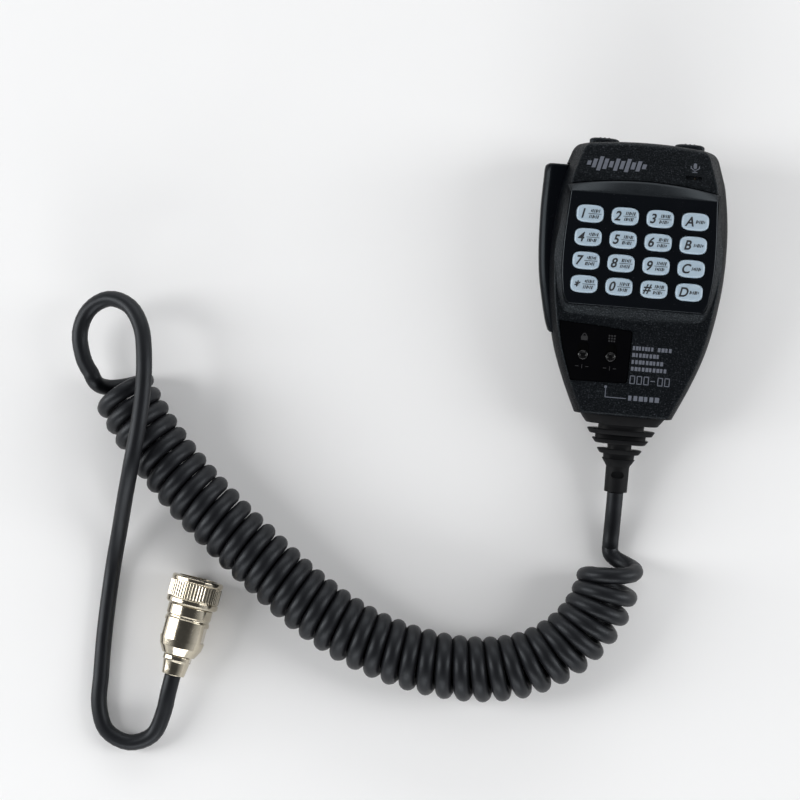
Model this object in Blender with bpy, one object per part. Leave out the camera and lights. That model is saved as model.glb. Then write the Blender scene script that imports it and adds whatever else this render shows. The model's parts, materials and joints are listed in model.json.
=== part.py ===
"""Hand microphone with a sixteen-key pad, curly cord and screw-ring plug.

The microphone is modelled face up in its own bench frame, in millimetres: x to the right, y towards
its top edge, z from the back of the rear case up to the keys, with x = y = 0 at the middle of the key
pad. An empty then tips that frame onto the hanger button and the lower back edge, as the microphone
lies on a table, and the cord and plug lie on the table beside it.
"""

import math

import bmesh
import bpy
from mathutils import Matrix, Vector

MM = 0.001
GAP = 0.3

# Case: half-widths (y, half-width) up the side, and the heights of its faces
SIDE = ((-59.3, 17.9), (-48.0, 23.0), (-36.0, 27.4), (-24.0, 30.1), (-10.0, 31.9), (2.0, 32.3),
        (14.0, 31.6), (26.0, 29.7), (36.0, 26.9))
TOP_Y = 39.8
BOTTOM_Y = -59.3
TOP_CORNERS = ((36.0, 26.9), (37.8, 26.2), (38.9, 25.3), (39.5, 24.2), (39.8, 23.0))
CASE_MIDDLE_Y = -9.5
ARCH = 1.8
ARCH_HALF = 25.0
PARTING_Z = 14.0
WALL = 2.2
FRONT_Z = ((-59.3, 23.2), (-58.9, 23.95), (-58.2, 24.35), (-26.0, 27.0), (25.0, 27.0), (38.0, 24.08),
           (39.2, 23.4), (39.6, 22.7), (39.8, 21.7))
SHOULDER_Z = 16.0
SHOULDER = ((0.0, 0.0), (0.2, 0.45), (0.8, 0.78), (1.7, 0.94), (3.0, 1.0), (9.0, 1.0))

REAR_RINGS = ((0.0, 0.90), (0.5, 0.94), (1.8, 0.968), (5.0, 0.985), (PARTING_Z - GAP, 0.994))

# Raised key field: (x, y) at its top and at its foot, from the middle of its upper side round to the lower
FIELD_Z = 28.9
FIELD_FOOT_Z = 26.3
FIELD = (((0.0, 20.3), (0.0, 25.7)), ((9.0, 20.3), (9.0, 25.4)), ((17.5, 20.3), (17.5, 24.6)),
         ((26.6, 20.3), (27.4, 22.6)), ((26.9, 15.0), (28.3, 15.6)), ((27.1, 9.0), (28.9, 9.0)),
         ((27.5, 1.0), (30.0, 1.0)), ((27.4, -7.0), (29.9, -7.0)), ((26.6, -14.0), (28.7, -14.4)),
         ((25.7, -18.3), (27.0, -20.4)), ((24.9, -19.7), (25.6, -23.2)), ((23.4, -20.2), (23.0, -24.5)),
         ((12.0, -20.2), (12.0, -25.7)), ((0.0, -20.2), (0.0, -26.1)))
FIELD_OPENING = (24.8, 17.0)

# Keys
KEY_PITCH = (12.5, 8.4)
KEY_NAMES = (("1", "2", "3", "a"), ("4", "5", "6", "b"), ("7", "8", "9", "c"), ("star", "0", "hash", "d"))
KEY_HALF = (4.85, 3.15)
KEY_BOTTOM_Z = 23.2
KEY_TOP_Z = 31.3
KEY_FLANGE = (0.55, 1.2)
PANEL_THICK = 1.0
PANEL_Z = FIELD_Z + GAP
PANEL_WIDTH = ((-19.9, 23.6), (-18.0, 25.4), (-14.0, 26.3), (-7.0, 27.1), (1.0, 27.2), (9.0, 26.9),
               (15.0, 26.5), (20.2, 26.2))
BAND_FALL = 2.7
BAND_HALF = 26.4
BAND_TOP_Y = 25.6
BAND_ARCH = 2.6

# Inside: board, membrane and what stands on them
BOARD_Z = (18.6, 20.2)
BOARD_TOP_Y = 33.8
MEMBRANE_Z = (20.5, 22.0)

# Slide switches behind the dark window
KNOB_XY = ((-16.8, -38.0), (-6.8, -38.0))
KNOB_RADIUS = 1.8
KNOB_TRAVEL = 2.7
WINDOW_OUTLINE = ((-26.2, -26.3), (-12.0, -27.2), (-1.4, -28.1), (-0.2, -28.6), (0.1, -29.6),
                  (-0.1, -45.6), (-0.5, -46.7), (-1.4, -47.0), (-20.5, -47.3), (-21.3, -44.4),
                  (-23.4, -38.4), (-25.0, -32.6))
WINDOW_MIDDLE = (-12.5, -36.8)
WINDOW_THICK = 1.0
WINDOW_SUNK = 0.15

# Push-to-talk lever: outer edge (y, x), pivot and height
LEVER_OUTER = ((-31.0, -29.9), (-27.0, -31.4), (-19.0, -33.3), (-11.0, -34.9), (-3.0, -35.8),
               (6.0, -36.3), (16.0, -36.5), (24.0, -36.3), (29.2, -36.0), (30.2, -35.3))
LEVER_Z = (8.3, 19.7)
LEVER_DEPTH = 3.6
PIVOT_XY = (-25.2, -27.8)
PIN_RADIUS = 1.0
PLUNGER_Y = 6.0
PLUNGER_Z = 15.5

# Top buttons
TOP_BUTTON_X = 15.4
TOP_BUTTON_HALF = (5.4, 2.3)
TOP_BUTTON_Z = 17.7

# Microphone opening and capsule
SOUND_XY = (17.2, 28.3)
CAPSULE_RADIUS = 3.0

# Screws and the hanger button
CASE_SCREWS = ((-22.6, 32.6), (22.6, 32.6), (-13.2, -49.5), (13.2, -49.5))
HANGER_Y = 12.0
HANGER_GAP = 5.6
HANGER_HEAD = (7.0, 3.0)
HANGER_NECK = 3.9

# Strain relief: (distance below the case, half-width, half-height), ribs and the cuts between them
BOOT_Z = 13.0
BOOT = ((0.3, 15.7, 8.6), (3.4, 13.2, 7.6), (3.4, 8.4, 6.6), (5.5, 8.4, 6.4), (5.5, 12.5, 7.2),
        (7.2, 11.5, 6.8), (7.2, 9.4, 4.6), (9.0, 9.2, 4.6), (9.0, 10.4, 6.4), (10.6, 9.2, 6.0),
        (10.6, 4.4, 5.2), (12.7, 4.4, 5.2), (12.7, 8.3, 5.8), (14.3, 7.2, 5.4), (14.3, 5.8, 4.3),
        (16.2, 5.6, 4.3), (16.2, 6.1, 5.0), (18.4, 4.7, 4.5), (19.0, 4.3, 4.3), (28.4, 4.2, 4.2))
BOOT_ROUND_FROM = 17.0
BOOT_SLOT = (22.0, 1.2, 1.15)

# Cord and plug, on the table
CORD_DIAMETER = 6.0
COIL_DIAMETER = 24.0
COIL_MEAN_RADIUS = 9.0
COIL_ROUTE = ((2.1, -83.5), (2.0, -96.0), (-3.0, -110.0), (-13.0, -121.5), (-27.5, -129.5), (-46.0, -132.5),
              (-67.0, -130.5), (-88.0, -124.0), (-107.0, -113.5), (-124.0, -101.0), (-141.0, -87.5),
              (-157.0, -73.5), (-171.0, -58.5), (-181.0, -45.0), (-188.0, -32.0))
MIC_TAIL_ROUTE = ((2.1, -71.5, 6.5), (2.1, -77.5, 4.3), (2.1, -83.0, 3.4))
PLUG_TAIL_ROUTE = ((-198.9, -32.0, 12.0), (-201.5, -21.5, 13.0), (-198.5, -13.0, 15.0), (-190.8, -8.6, 18.5),
                   (-182.0, -11.2, 22.5), (-176.3, -19.0, 25.8), (-173.8, -30.0, 27.5), (-173.0, -42.5, 27.7),
                   (-173.4, -55.0, 27.7), (-174.8, -68.0, 26.0), (-177.2, -80.5, 18.8), (-179.8, -93.0, 9.4),
                   (-181.8, -106.5, 4.0), (-182.6, -121.0, 3.0), (-182.8, -135.0, 3.0), (-182.5, -148.0, 3.0),
                   (-182.1, -159.0, 3.0), (-178.4, -167.8, 3.0), (-169.6, -171.5, 3.4), (-160.8, -167.8, 4.8),
                   (-157.1, -159.0, 7.2), (-155.8, -151.5, 9.2), (-154.7, -145.0, 9.6))
TAIL_SPACING = 6.0
COIL_SPACING = 12.0

# Plug, along its axis from the mating face back to the cord
PLUG_REAR = (-154.65, -144.7, 9.6)
PLUG_HEADING = (0.166, 0.986, 0.0)
PLUG_LENGTH = 35.0
BARREL_RADIUS = (5.9, 6.9)
PLUG_BODY_RADIUS = 8.3
RING_RADIUS = (7.2, 9.6)
RING_SPAN = (-1.5, 9.0)


# ---------------------------------------------------------------- helpers

def clear_scene():
    for obj in list(bpy.data.objects):
        bpy.data.objects.remove(obj, do_unlink=True)


def material(name, colour, roughness, metallic=0.0):
    found = bpy.data.materials.get(name)
    if found:
        return found
    made = bpy.data.materials.new(name)
    made.use_nodes = True
    shader = made.node_tree.nodes["Principled BSDF"]
    shader.inputs["Base Color"].default_value = (*colour, 1.0)
    shader.inputs["Roughness"].default_value = roughness
    shader.inputs["Metallic"].default_value = metallic
    return made


def interpolate(table, at):
    """A smooth curve through (position, value) pairs, read at one position."""
    if at <= table[0][0]:
        return table[0][1]
    if at >= table[-1][0]:
        return table[-1][1]
    slopes = []
    for i in range(len(table)):
        low = table[max(i - 1, 0)]
        high = table[min(i + 1, len(table) - 1)]
        slopes.append((high[1] - low[1]) / (high[0] - low[0]))
    for i in range(len(table) - 1):
        (x0, y0), (x1, y1) = table[i], table[i + 1]
        if at <= x1:
            span = x1 - x0
            t = (at - x0) / span
            return (y0 * (1 + 2 * t) * (1 - t) ** 2 + slopes[i] * span * t * (1 - t) ** 2
                    + y1 * t * t * (3 - 2 * t) + slopes[i + 1] * span * t * t * (t - 1))
    return table[-1][1]


def straight(table, at):
    """The same, along straight lines."""
    for (x0, y0), (x1, y1) in zip(table, table[1:]):
        if at <= x1:
            return y0 + (y1 - y0) * max(at - x0, 0.0) / (x1 - x0)
    return table[-1][1]


def half_width(y):
    if y > SIDE[-1][0]:
        return straight(TOP_CORNERS, y)
    return interpolate(SIDE, y)


def arch_drop(x, y):
    """How far the arched top edge falls towards its corners; none at the key field and below."""
    share = min(max((y - 26.0) / (TOP_Y - 26.0), 0.0), 1.0)
    return ARCH * share * (x / ARCH_HALF) ** 2


def superellipse(half_x, half_y, count, power=4.0):
    points = []
    for i in range(count):
        angle = 2 * math.pi * (i + 0.5) / count
        c, s = math.cos(angle), math.sin(angle)
        points.append((math.copysign(abs(c) ** (2 / power), c) * half_x,
                       math.copysign(abs(s) ** (2 / power), s) * half_y))
    return points


def circle(radius, count):
    return [(radius * math.cos(2 * math.pi * (i + 0.5) / count),
             radius * math.sin(2 * math.pi * (i + 0.5) / count)) for i in range(count)]


def stadium(radius, low_y, high_y, count=12):
    """A slot's outline: half circles about two points on the Y axis."""
    points = []
    for i in range(count + 1):
        angle = math.pi * i / count
        points.append((radius * math.cos(angle), high_y + radius * math.sin(angle)))
    for i in range(count + 1):
        angle = math.pi + math.pi * i / count
        points.append((radius * math.cos(angle), low_y + radius * math.sin(angle)))
    return points


def loft(rings):
    """A closed solid through rings of equal point counts, with flat ends."""
    bm = bmesh.new()
    rows = [[bm.verts.new(point) for point in ring] for ring in rings]
    count = len(rows[0])
    for low, high in zip(rows, rows[1:]):
        for i in range(count):
            j = (i + 1) % count
            bm.faces.new((low[i], low[j], high[j], high[i]))
    bm.faces.new(list(reversed(rows[0])))
    bm.faces.new(rows[-1])
    bmesh.ops.recalc_face_normals(bm, faces=bm.faces)
    return bm


def prism(outline, z0, z1):
    return loft([[(x, y, z0) for x, y in outline], [(x, y, z1) for x, y in outline]])


def turned(profile, count, closed=False):
    """A solid of revolution about Z from (z, radius) pairs; a closed profile goes round a bore."""
    if not closed:
        return loft([[(x, y, z) for x, y in circle(radius, count)] for z, radius in profile])
    bm = bmesh.new()
    rows = [[bm.verts.new((x, y, z)) for x, y in circle(radius, count)] for z, radius in profile]
    for low, high in zip(rows, rows[1:] + rows[:1]):
        for i in range(count):
            j = (i + 1) % count
            bm.faces.new((low[i], low[j], high[j], high[i]))
    bmesh.ops.recalc_face_normals(bm, faces=bm.faces)
    return bm


def sheet_solid(top, bottom):
    """A closed solid between two grids of points with the same rows and columns.

    Its quads are split the same way in every sheet, mirrored left and right, so that one sheet fits in
    the pocket that a wider one cuts.
    """
    bm = bmesh.new()
    grids = [[[bm.verts.new(point) for point in row] for row in grid] for grid in (top, bottom)]
    rows, columns = len(top), len(top[0])
    for grid in grids:
        for i in range(rows - 1):
            for j in range(columns - 1):
                a, b, c, d = grid[i][j], grid[i][j + 1], grid[i + 1][j + 1], grid[i + 1][j]
                halves = ((a, b, c), (a, c, d)) if j < (columns - 1) / 2 else ((a, b, d), (b, c, d))
                for half in halves:
                    bm.faces.new(half)
    border = ([(0, j) for j in range(columns)]
              + [(i, columns - 1) for i in range(1, rows)]
              + [(rows - 1, j) for j in range(columns - 2, -1, -1)]
              + [(i, 0) for i in range(rows - 2, 0, -1)])
    for (i0, j0), (i1, j1) in zip(border, border[1:] + border[:1]):
        bm.faces.new((grids[0][i0][j0], grids[0][i1][j1], grids[1][i1][j1], grids[1][i0][j0]))
    bmesh.ops.recalc_face_normals(bm, faces=bm.faces)
    return bm


def box(x0, x1, y0, y1, z0, z1):
    return prism([(x0, y0), (x1, y0), (x1, y1), (x0, y1)], z0, z1)


def moved(bm, x=0.0, y=0.0, z=0.0, turn=None):
    if turn:
        bmesh.ops.transform(bm, matrix=turn, verts=bm.verts)
    bmesh.ops.translate(bm, vec=(x, y, z), verts=bm.verts)
    return bm


def along_y(bm):
    """Turns a solid made along Z so that it runs along Y instead."""
    return moved(bm, turn=Matrix.Rotation(math.radians(-90), 4, "X"))


def along_x(bm):
    return moved(bm, turn=Matrix.Rotation(math.radians(90), 4, "Y"))


def to_mesh(bm, name, origin=(0.0, 0.0, 0.0)):
    bmesh.ops.translate(bm, vec=[-value for value in origin], verts=bm.verts)
    bmesh.ops.scale(bm, vec=(MM, MM, MM), verts=bm.verts)
    mesh = bpy.data.meshes.new(name)
    bm.to_mesh(mesh)
    bm.free()
    return mesh


def piece(name, bm, finish, parent, origin=(0.0, 0.0, 0.0), bevel=0.0, segments=1):
    """One sub-part: its mesh about its own origin, its material and its parent."""
    mesh = to_mesh(bm, name, origin)
    mesh.materials.append(finish)
    mesh.shade_smooth()
    mesh.set_sharp_from_angle(angle=math.radians(35))
    obj = bpy.data.objects.new(name, mesh)
    bpy.context.scene.collection.objects.link(obj)
    obj.parent = parent
    obj.location = Vector(origin) * MM
    if bevel:
        edge = obj.modifiers.new("edge", "BEVEL")
        edge.width = bevel * MM
        edge.segments = segments
        edge.limit_method = "ANGLE"
        edge.angle_limit = math.radians(50)
    return obj


def combine(obj, operation, solids):
    """Joins solids to an object, or cuts them from it, with one exact Boolean for each."""
    for number, bm in enumerate(solids):
        tool = bpy.data.objects.new(f"{obj.name}_{operation.lower()}_{number}", to_mesh(bm, "tool"))
        bpy.context.scene.collection.objects.link(tool)
        tool.parent = obj.parent
        tool.hide_render = True
        tool.display_type = "WIRE"
        cut = obj.modifiers.new(operation.lower(), "BOOLEAN")
        cut.operation = operation
        cut.solver = "EXACT"
        cut.object = tool
    return obj


# ---------------------------------------------------------------- case

def case_outline(scale=1.0):
    """The case seen from the front, anticlockwise from the lower right corner, scaled about its middle."""
    right = [(half_width(y), y) for y in (BOTTOM_Y, -53.0, -48.0, -42.0, -36.0, -30.0, -24.0, -17.0, -10.0,
                                          -3.0, 4.0, 11.0, 18.0, 25.0, 31.0, 36.0)]
    right += [(x, y - arch_drop(x, y)) for y, x in TOP_CORNERS[1:]]
    right += [(x, TOP_Y - arch_drop(x, TOP_Y)) for x in (14.0, 7.0)]
    left = [(-x, y) for x, y in reversed(right)]
    outline = right + [(0.0, TOP_Y)] + left
    return [(x * scale, CASE_MIDDLE_Y + (y - CASE_MIDDLE_Y) * scale) for x, y in outline]


def front_shell():
    """The front case's outer form: a skin over stations up the case, closed at the parting line."""
    stations = (BOTTOM_Y, -58.9, -58.2, -54.0, -48.0, -42.0, -36.0, -30.0, -24.0, -16.0, -8.0, 0.0, 8.0, 16.0,
                24.0, 28.0, 32.0, 36.0, 37.8, 38.9, 39.5, TOP_Y)
    top, bottom = [], []
    for y in stations:
        w = half_width(y)
        front = straight(FRONT_Z, y)
        right = [(w - inset, SHOULDER_Z + (front - SHOULDER_Z) * share) for inset, share in SHOULDER]
        section = [(-x, z) for x, z in right] + [(0.0, front)] + [(x, z) for x, z in reversed(right)]
        top.append([(x, y - arch_drop(x, y), z) for x, z in section])
        bottom.append([(x, y - arch_drop(x, y), PARTING_Z) for x, z in section])
    return sheet_solid(top, bottom)


def field_solid():
    right_top = [(x, y, FIELD_Z) for (x, y), _ in FIELD]
    right_foot = [(x, y, FIELD_FOOT_Z) for _, (x, y) in FIELD]
    rings = []
    for ring in (right_foot, right_top):
        mirrored = [(-x, y, z) for x, y, z in reversed(ring[1:-1])]
        rings.append(ring + mirrored)
    root = [(x * 0.97, y * 0.97, FIELD_FOOT_Z - 1.2) for x, y, z in rings[0]]
    return loft([root] + rings)


def panel_solid(grow=0.0, lift=0.0):
    """The keypad panel: flat over the keys, its upper strip bent back down to an arched edge.

    grow widens it all round and lowers its underside; lift raises its top. Both are for its pocket.
    """
    top, bottom = [], []
    for number, (y, w) in enumerate(PANEL_WIDTH):
        y = y if number else y - grow
        row = [(w + grow) * share for share in (-1.0, -0.7, -0.35, 0.0, 0.35, 0.7, 1.0)]
        top.append([(x, y, PANEL_Z + PANEL_THICK + lift) for x in row])
        bottom.append([(x, y, PANEL_Z - grow) for x in row])
    row = [(BAND_HALF + grow) * share for share in (-1.0, -0.7, -0.35, 0.0, 0.35, 0.7, 1.0)]
    edge = [BAND_TOP_Y + grow - BAND_ARCH * (x / BAND_HALF) ** 2 for x in row]
    top.append([(x, y, PANEL_Z + PANEL_THICK - BAND_FALL + lift) for x, y in zip(row, edge)])
    bottom.append([(x, y, PANEL_Z - BAND_FALL - grow) for x, y in zip(row, edge)])
    return sheet_solid(top, bottom)


def lower_face(y):
    return straight(FRONT_Z, y)


def window_solid(grow=0.0, lift=0.0):
    """The dark window over the slide switches, parallel to the sloping lower face."""
    centre = Vector(WINDOW_MIDDLE)
    rings = []
    for depth in (-WINDOW_THICK - grow, lift):
        ring = []
        for x, y in WINDOW_OUTLINE:
            away = (Vector((x, y)) - centre).normalized() * grow * 1.3
            ring.append((x + away.x, y + away.y, lower_face(y) - WINDOW_SUNK + depth))
        rings.append(ring)
    return loft(rings)


def cavity_front():
    stations = (-56.6, -50.0, -40.0, -30.0, -20.0, -10.0, 0.0, 10.0, 20.0, 27.0, 32.0, 35.6, 37.4)
    top, bottom = [], []
    for y in stations:
        w = half_width(y) - WALL
        if y > 36.0:
            w -= 1.6
        ceiling = straight(FRONT_Z, min(y, 36.0)) - 3.0
        row = (-w, -0.5 * w, 0.5 * w, w)
        top.append([(x, y - arch_drop(x, y), ceiling) for x in row])
        bottom.append([(x, y - arch_drop(x, y), PARTING_Z - 1.0) for x in row])
    return sheet_solid(top, bottom)


def lever_opening():
    return box(-42.0, -22.0, -31.3, 30.7, LEVER_Z[0] - GAP, LEVER_Z[1] + GAP)


def boot_opening():
    return moved(along_y(prism(superellipse(5.9, 4.9, 16, 2.5), -8.0, 8.0)), y=BOTTOM_Y, z=BOOT_Z)


def front_case(frame, finish):
    obj = piece("front_case", front_shell(), finish, frame)
    bosses = [moved(prism(circle(2.7, 12), 14.4, 23.2), x, y) for x, y in CASE_SCREWS]
    bosses.append(moved(prism(circle(2.4, 12), 20.4, 24.4), *PIVOT_XY))
    combine(obj, "UNION", [field_solid()])
    combine(obj, "DIFFERENCE", [cavity_front()])
    combine(obj, "UNION", bosses)
    w, h = FIELD_OPENING
    cuts = [panel_solid(GAP, 6.0), window_solid(GAP, 4.0), box(-w, w, -h, h, 20.0, 36.0), lever_opening(),
            boot_opening()]
    for x, y in CASE_SCREWS:
        cuts.append(moved(prism(circle(1.45, 10), 12.0, 21.8), x, y))
    cuts.append(moved(prism(circle(PIN_RADIUS + GAP, 12), 18.0, 23.4), *PIVOT_XY))
    for x, y in KNOB_XY:
        cuts.append(moved(prism(stadium(KNOB_RADIUS + 0.7, 0.0, KNOB_TRAVEL, 6), 20.0, 30.0), x, y))
    cuts.append(moved(prism(circle(0.55, 10), 18.0, 30.0), SOUND_XY[0] + 0.6, SOUND_XY[1]))
    slot = stadium(0.75, -2.3, 2.3, 6)
    depth = straight(FRONT_Z, SOUND_XY[1]) - 0.8
    cuts.append(moved(prism([(y, x) for x, y in slot], depth, 30.0), *SOUND_XY))
    for side in (-1, 1):
        hole = prism(superellipse(TOP_BUTTON_HALF[0] + GAP, TOP_BUTTON_HALF[1] + GAP, 16, 3.0), -3.0, 4.0)
        cuts.append(moved(along_y(hole), side * TOP_BUTTON_X, TOP_Y - 1.0, TOP_BUTTON_Z))
    return combine(obj, "DIFFERENCE", cuts)


def rear_case(frame, finish):
    rings = [[(x, y, z) for x, y in case_outline(scale)] for z, scale in REAR_RINGS]
    obj = piece("rear_case", loft(rings), finish, frame)
    inside = [[(x, y, z) for x, y in case_outline(scale)]
              for z, scale in ((2.2, 0.84), (4.4, 0.915), (PARTING_Z + 2.0, 0.93))]
    combine(obj, "DIFFERENCE", [loft(inside)])
    posts = [moved(prism(circle(3.1, 12), 1.4, PARTING_Z - GAP - 0.1), x, y) for x, y in CASE_SCREWS]
    posts.append(moved(prism(circle(2.4, 12), 1.4, 7.8), *PIVOT_XY))
    posts.append(moved(prism(circle(4.2, 16), 1.2, 7.0), 0.0, HANGER_Y))
    posts.append(box(-21.6, -19.8, -23.0, -17.5, 1.4, 13.2))
    combine(obj, "UNION", posts)
    cuts = [lever_opening(), boot_opening()]
    for x, y in CASE_SCREWS:
        cuts.append(moved(prism(circle(1.5, 10), -1.0, 16.0), x, y))
        cuts.append(moved(prism(circle(2.4, 12), -1.0, 3.4), x, y))
    cuts.append(moved(prism(circle(PIN_RADIUS + GAP, 12), 3.6, 9.0), *PIVOT_XY))
    cuts.append(moved(prism(circle(1.65, 12), -1.0, 5.9), 0.0, HANGER_Y))
    return combine(obj, "DIFFERENCE", cuts)


# ---------------------------------------------------------------- keypad

def keypad_panel(frame, finish):
    obj = piece("keypad_panel", panel_solid(), finish, frame)
    holes = []
    outline = superellipse(KEY_HALF[0] + GAP, KEY_HALF[1] + GAP, 16)
    for row in range(4):
        for column in range(4):
            x, y = key_place(row, column)
            holes.append(moved(prism(outline, 26.0, 34.0), x, y))
    return combine(obj, "DIFFERENCE", holes)


def key_place(row, column):
    return (column - 1.5) * KEY_PITCH[0], (1.5 - row) * KEY_PITCH[1]


def keys(frame, finish):
    w, h = KEY_HALF
    flange, flange_height = KEY_FLANGE
    rings = ((w + flange, h + flange, KEY_BOTTOM_Z), (w + flange, h + flange, KEY_BOTTOM_Z + flange_height),
             (w, h, KEY_BOTTOM_Z + flange_height), (w, h, KEY_TOP_Z - 0.7),
             (w - 0.35, h - 0.35, KEY_TOP_Z - 0.15), (w - 1.1, h - 1.1, KEY_TOP_Z))
    first = None
    for row in range(4):
        for column in range(4):
            x, y = key_place(row, column)
            name = f"key_{KEY_NAMES[row][column]}"
            if first is None:
                bm = loft([[(a, b, z) for a, b in superellipse(rx, ry, 16)] for rx, ry, z in rings])
                first = piece(name, moved(bm, x, y), finish, frame, (x, y, KEY_BOTTOM_Z))
                continue
            obj = bpy.data.objects.new(name, first.data)
            bpy.context.scene.collection.objects.link(obj)
            obj.parent = frame
            obj.location = Vector((x, y, KEY_BOTTOM_Z)) * MM


def keypad_membrane(frame, finish):
    """One silicone sheet with a raised dome under each key."""
    obj = piece("keypad_membrane", box(-24.0, 24.0, -16.6, 16.6, MEMBRANE_Z[0], MEMBRANE_Z[1] - 0.7),
                finish, frame)
    domes = []
    for row in range(4):
        for column in range(4):
            x, y = key_place(row, column)
            dome = prism(superellipse(3.4, 2.4, 10), MEMBRANE_Z[1] - 1.0, MEMBRANE_Z[1])
            domes.append(moved(dome, x, y))
    return combine(obj, "UNION", domes)


# ---------------------------------------------------------------- switches and buttons

def switch_window(frame, finish):
    obj = piece("switch_window", window_solid(), finish, frame)
    slots = [moved(prism(stadium(KNOB_RADIUS + GAP, 0.0, KNOB_TRAVEL, 8), 20.0, 32.0), x, y)
             for x, y in KNOB_XY]
    return combine(obj, "DIFFERENCE", slots)


def slide_switches(frame, finish):
    for label, (x, y) in zip(("lock", "tone"), KNOB_XY):
        face = lower_face(y)
        rings = ((1.1, 21.5), (1.1, 23.4), (KNOB_RADIUS - 0.2, 23.4), (KNOB_RADIUS, 23.8),
                 (KNOB_RADIUS, face + 0.05), (KNOB_RADIUS - 0.35, face + 0.35))
        knob = turned([(z, radius) for radius, z in rings], 16)
        piece(f"{label}_knob", moved(knob, x, y), finish, frame, (x, y, 21.5))
        middle = y + KNOB_TRAVEL / 2
        body = box(x - 2.6, x + 2.6, middle - 4.4, middle + 4.4, BOARD_Z[1] + GAP, 22.7)
        obj = piece(f"{label}_switch", body, finish, frame)
        well = box(x - 1.45, x + 1.45, y - 1.45, y + KNOB_TRAVEL + 1.45, 21.1, 24.0)
        combine(obj, "DIFFERENCE", [well])


def top_buttons(frame, finish, switch_finish):
    """Up and down buttons in the top edge, each over a small push switch on the board's underside."""
    back = TOP_Y - 4.7
    half_x, half_z = TOP_BUTTON_HALF
    for label, side in (("up", 1), ("down", -1)):
        x = side * TOP_BUTTON_X
        rings = ((half_x - 0.7, half_z + 0.5, back), (half_x - 0.7, half_z + 0.5, back + 1.0),
                 (half_x - 0.7, half_z, back + 1.0), (half_x, half_z, back + 1.5),
                 (half_x, half_z, TOP_Y + 0.1), (half_x - 0.9, half_z - 0.5, TOP_Y + 0.7),
                 (half_x - 2.4, half_z - 1.0, TOP_Y + 0.95))
        bm = loft([[(a, d, b) for a, b in superellipse(rx, rz, 16, 3.0)] for rx, rz, d in rings])
        piece(f"{label}_button", moved(bm, x, 0.0, TOP_BUTTON_Z), finish, frame, (x, back, TOP_BUTTON_Z))
        body = box(x - 3.1, x + 3.1, 29.7, 33.2, 14.6, BOARD_Z[0] - GAP)
        obj = piece(f"{label}_switch", body, switch_finish, frame)
        nub = moved(along_y(prism(circle(1.6, 12), -0.4, 0.7)), x, 33.2, 16.6)
        combine(obj, "UNION", [nub])


# ---------------------------------------------------------------- push to talk

def lever_inner(y):
    """The lever's inner edge; it thins towards its upper end, to clear the case screw."""
    return -(half_width(y) - LEVER_DEPTH + max(0.0, y - 16.0) * 0.155)


def ribbon(path, thickness):
    """The outline of a strip of even thickness along a path."""
    points = [Vector(point) for point in path]
    sides = ([], [])
    for i, point in enumerate(points):
        along = (points[min(i + 1, len(points) - 1)] - points[max(i - 1, 0)]).normalized()
        across = Vector((-along.y, along.x)) * thickness / 2
        sides[0].append(point + across)
        sides[1].append(point - across)
    return [tuple(point) for point in sides[0] + list(reversed(sides[1]))]


def ptt_lever(frame, finish):
    low, high = LEVER_Z
    rings = []
    for y, outer in LEVER_OUTER:
        inner = lever_inner(y)
        rings.append([(inner, y, low), (inner, y, high), (outer + 1.9, y, high), (outer + 0.5, y, high - 1.2),
                      (outer, y, high - 3.4), (outer, y, low + 3.4), (outer + 0.5, y, low + 1.2),
                      (outer + 1.9, y, low)])
    pivot = (*PIVOT_XY, 14.0)
    obj = piece("ptt_lever", loft(rings), finish, frame, pivot)
    stop_x = -(half_width(24.0) - WALL) + 0.45
    stop = box(stop_x, stop_x + 1.2, 10.0, 20.0, low - 1.6, high + 1.6)
    web = box(stop_x - 1.8, stop_x + 0.6, 10.6, 19.4, low + 0.4, high - 0.4)
    arm_x = lever_inner(PLUNGER_Y)
    arm = box(arm_x - 1.0, -26.6, PLUNGER_Y - 2.2, PLUNGER_Y + 2.2, PLUNGER_Z - 2.2, PLUNGER_Z + 2.2)
    knuckle = moved(prism(circle(2.5, 16), low, high), *PIVOT_XY)
    combine(obj, "UNION", [web, stop, arm, knuckle])
    bore = moved(prism(circle(PIN_RADIUS + GAP, 12), 0.0, 30.0), *PIVOT_XY)
    return combine(obj, "DIFFERENCE", [bore])


def ptt_works(frame, steel, black, orange):
    pin = moved(prism(circle(PIN_RADIUS, 12), 4.0, 23.1), *PIVOT_XY)
    piece("ptt_pivot_pin", pin, steel, frame)
    switch = box(-24.0, -17.6, PLUNGER_Y - 3.6, PLUNGER_Y + 3.6, 12.4, BOARD_Z[0] - GAP)
    obj = piece("ptt_switch", switch, black, frame)
    hole = moved(along_x(prism(circle(1.5, 12), -5.0, 3.0)), -24.0, PLUNGER_Y, PLUNGER_Z)
    combine(obj, "DIFFERENCE", [hole])
    plunger = moved(along_x(prism(circle(1.2, 12), -26.3, -23.0)), 0.0, PLUNGER_Y, PLUNGER_Z)
    piece("ptt_plunger", plunger, orange, frame, (-26.3, PLUNGER_Y, PLUNGER_Z))
    leaf = ribbon(((-22.2, -22.5), (-22.2, -17.0), (-24.2, -12.4), (-26.6, -7.4), (-27.9, -4.2),
                   (-28.2, -2.6), (-27.7, -1.0)), 0.4)
    piece("ptt_spring", prism(leaf, 10.4, 14.4), steel, frame)


# ---------------------------------------------------------------- inside

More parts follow.
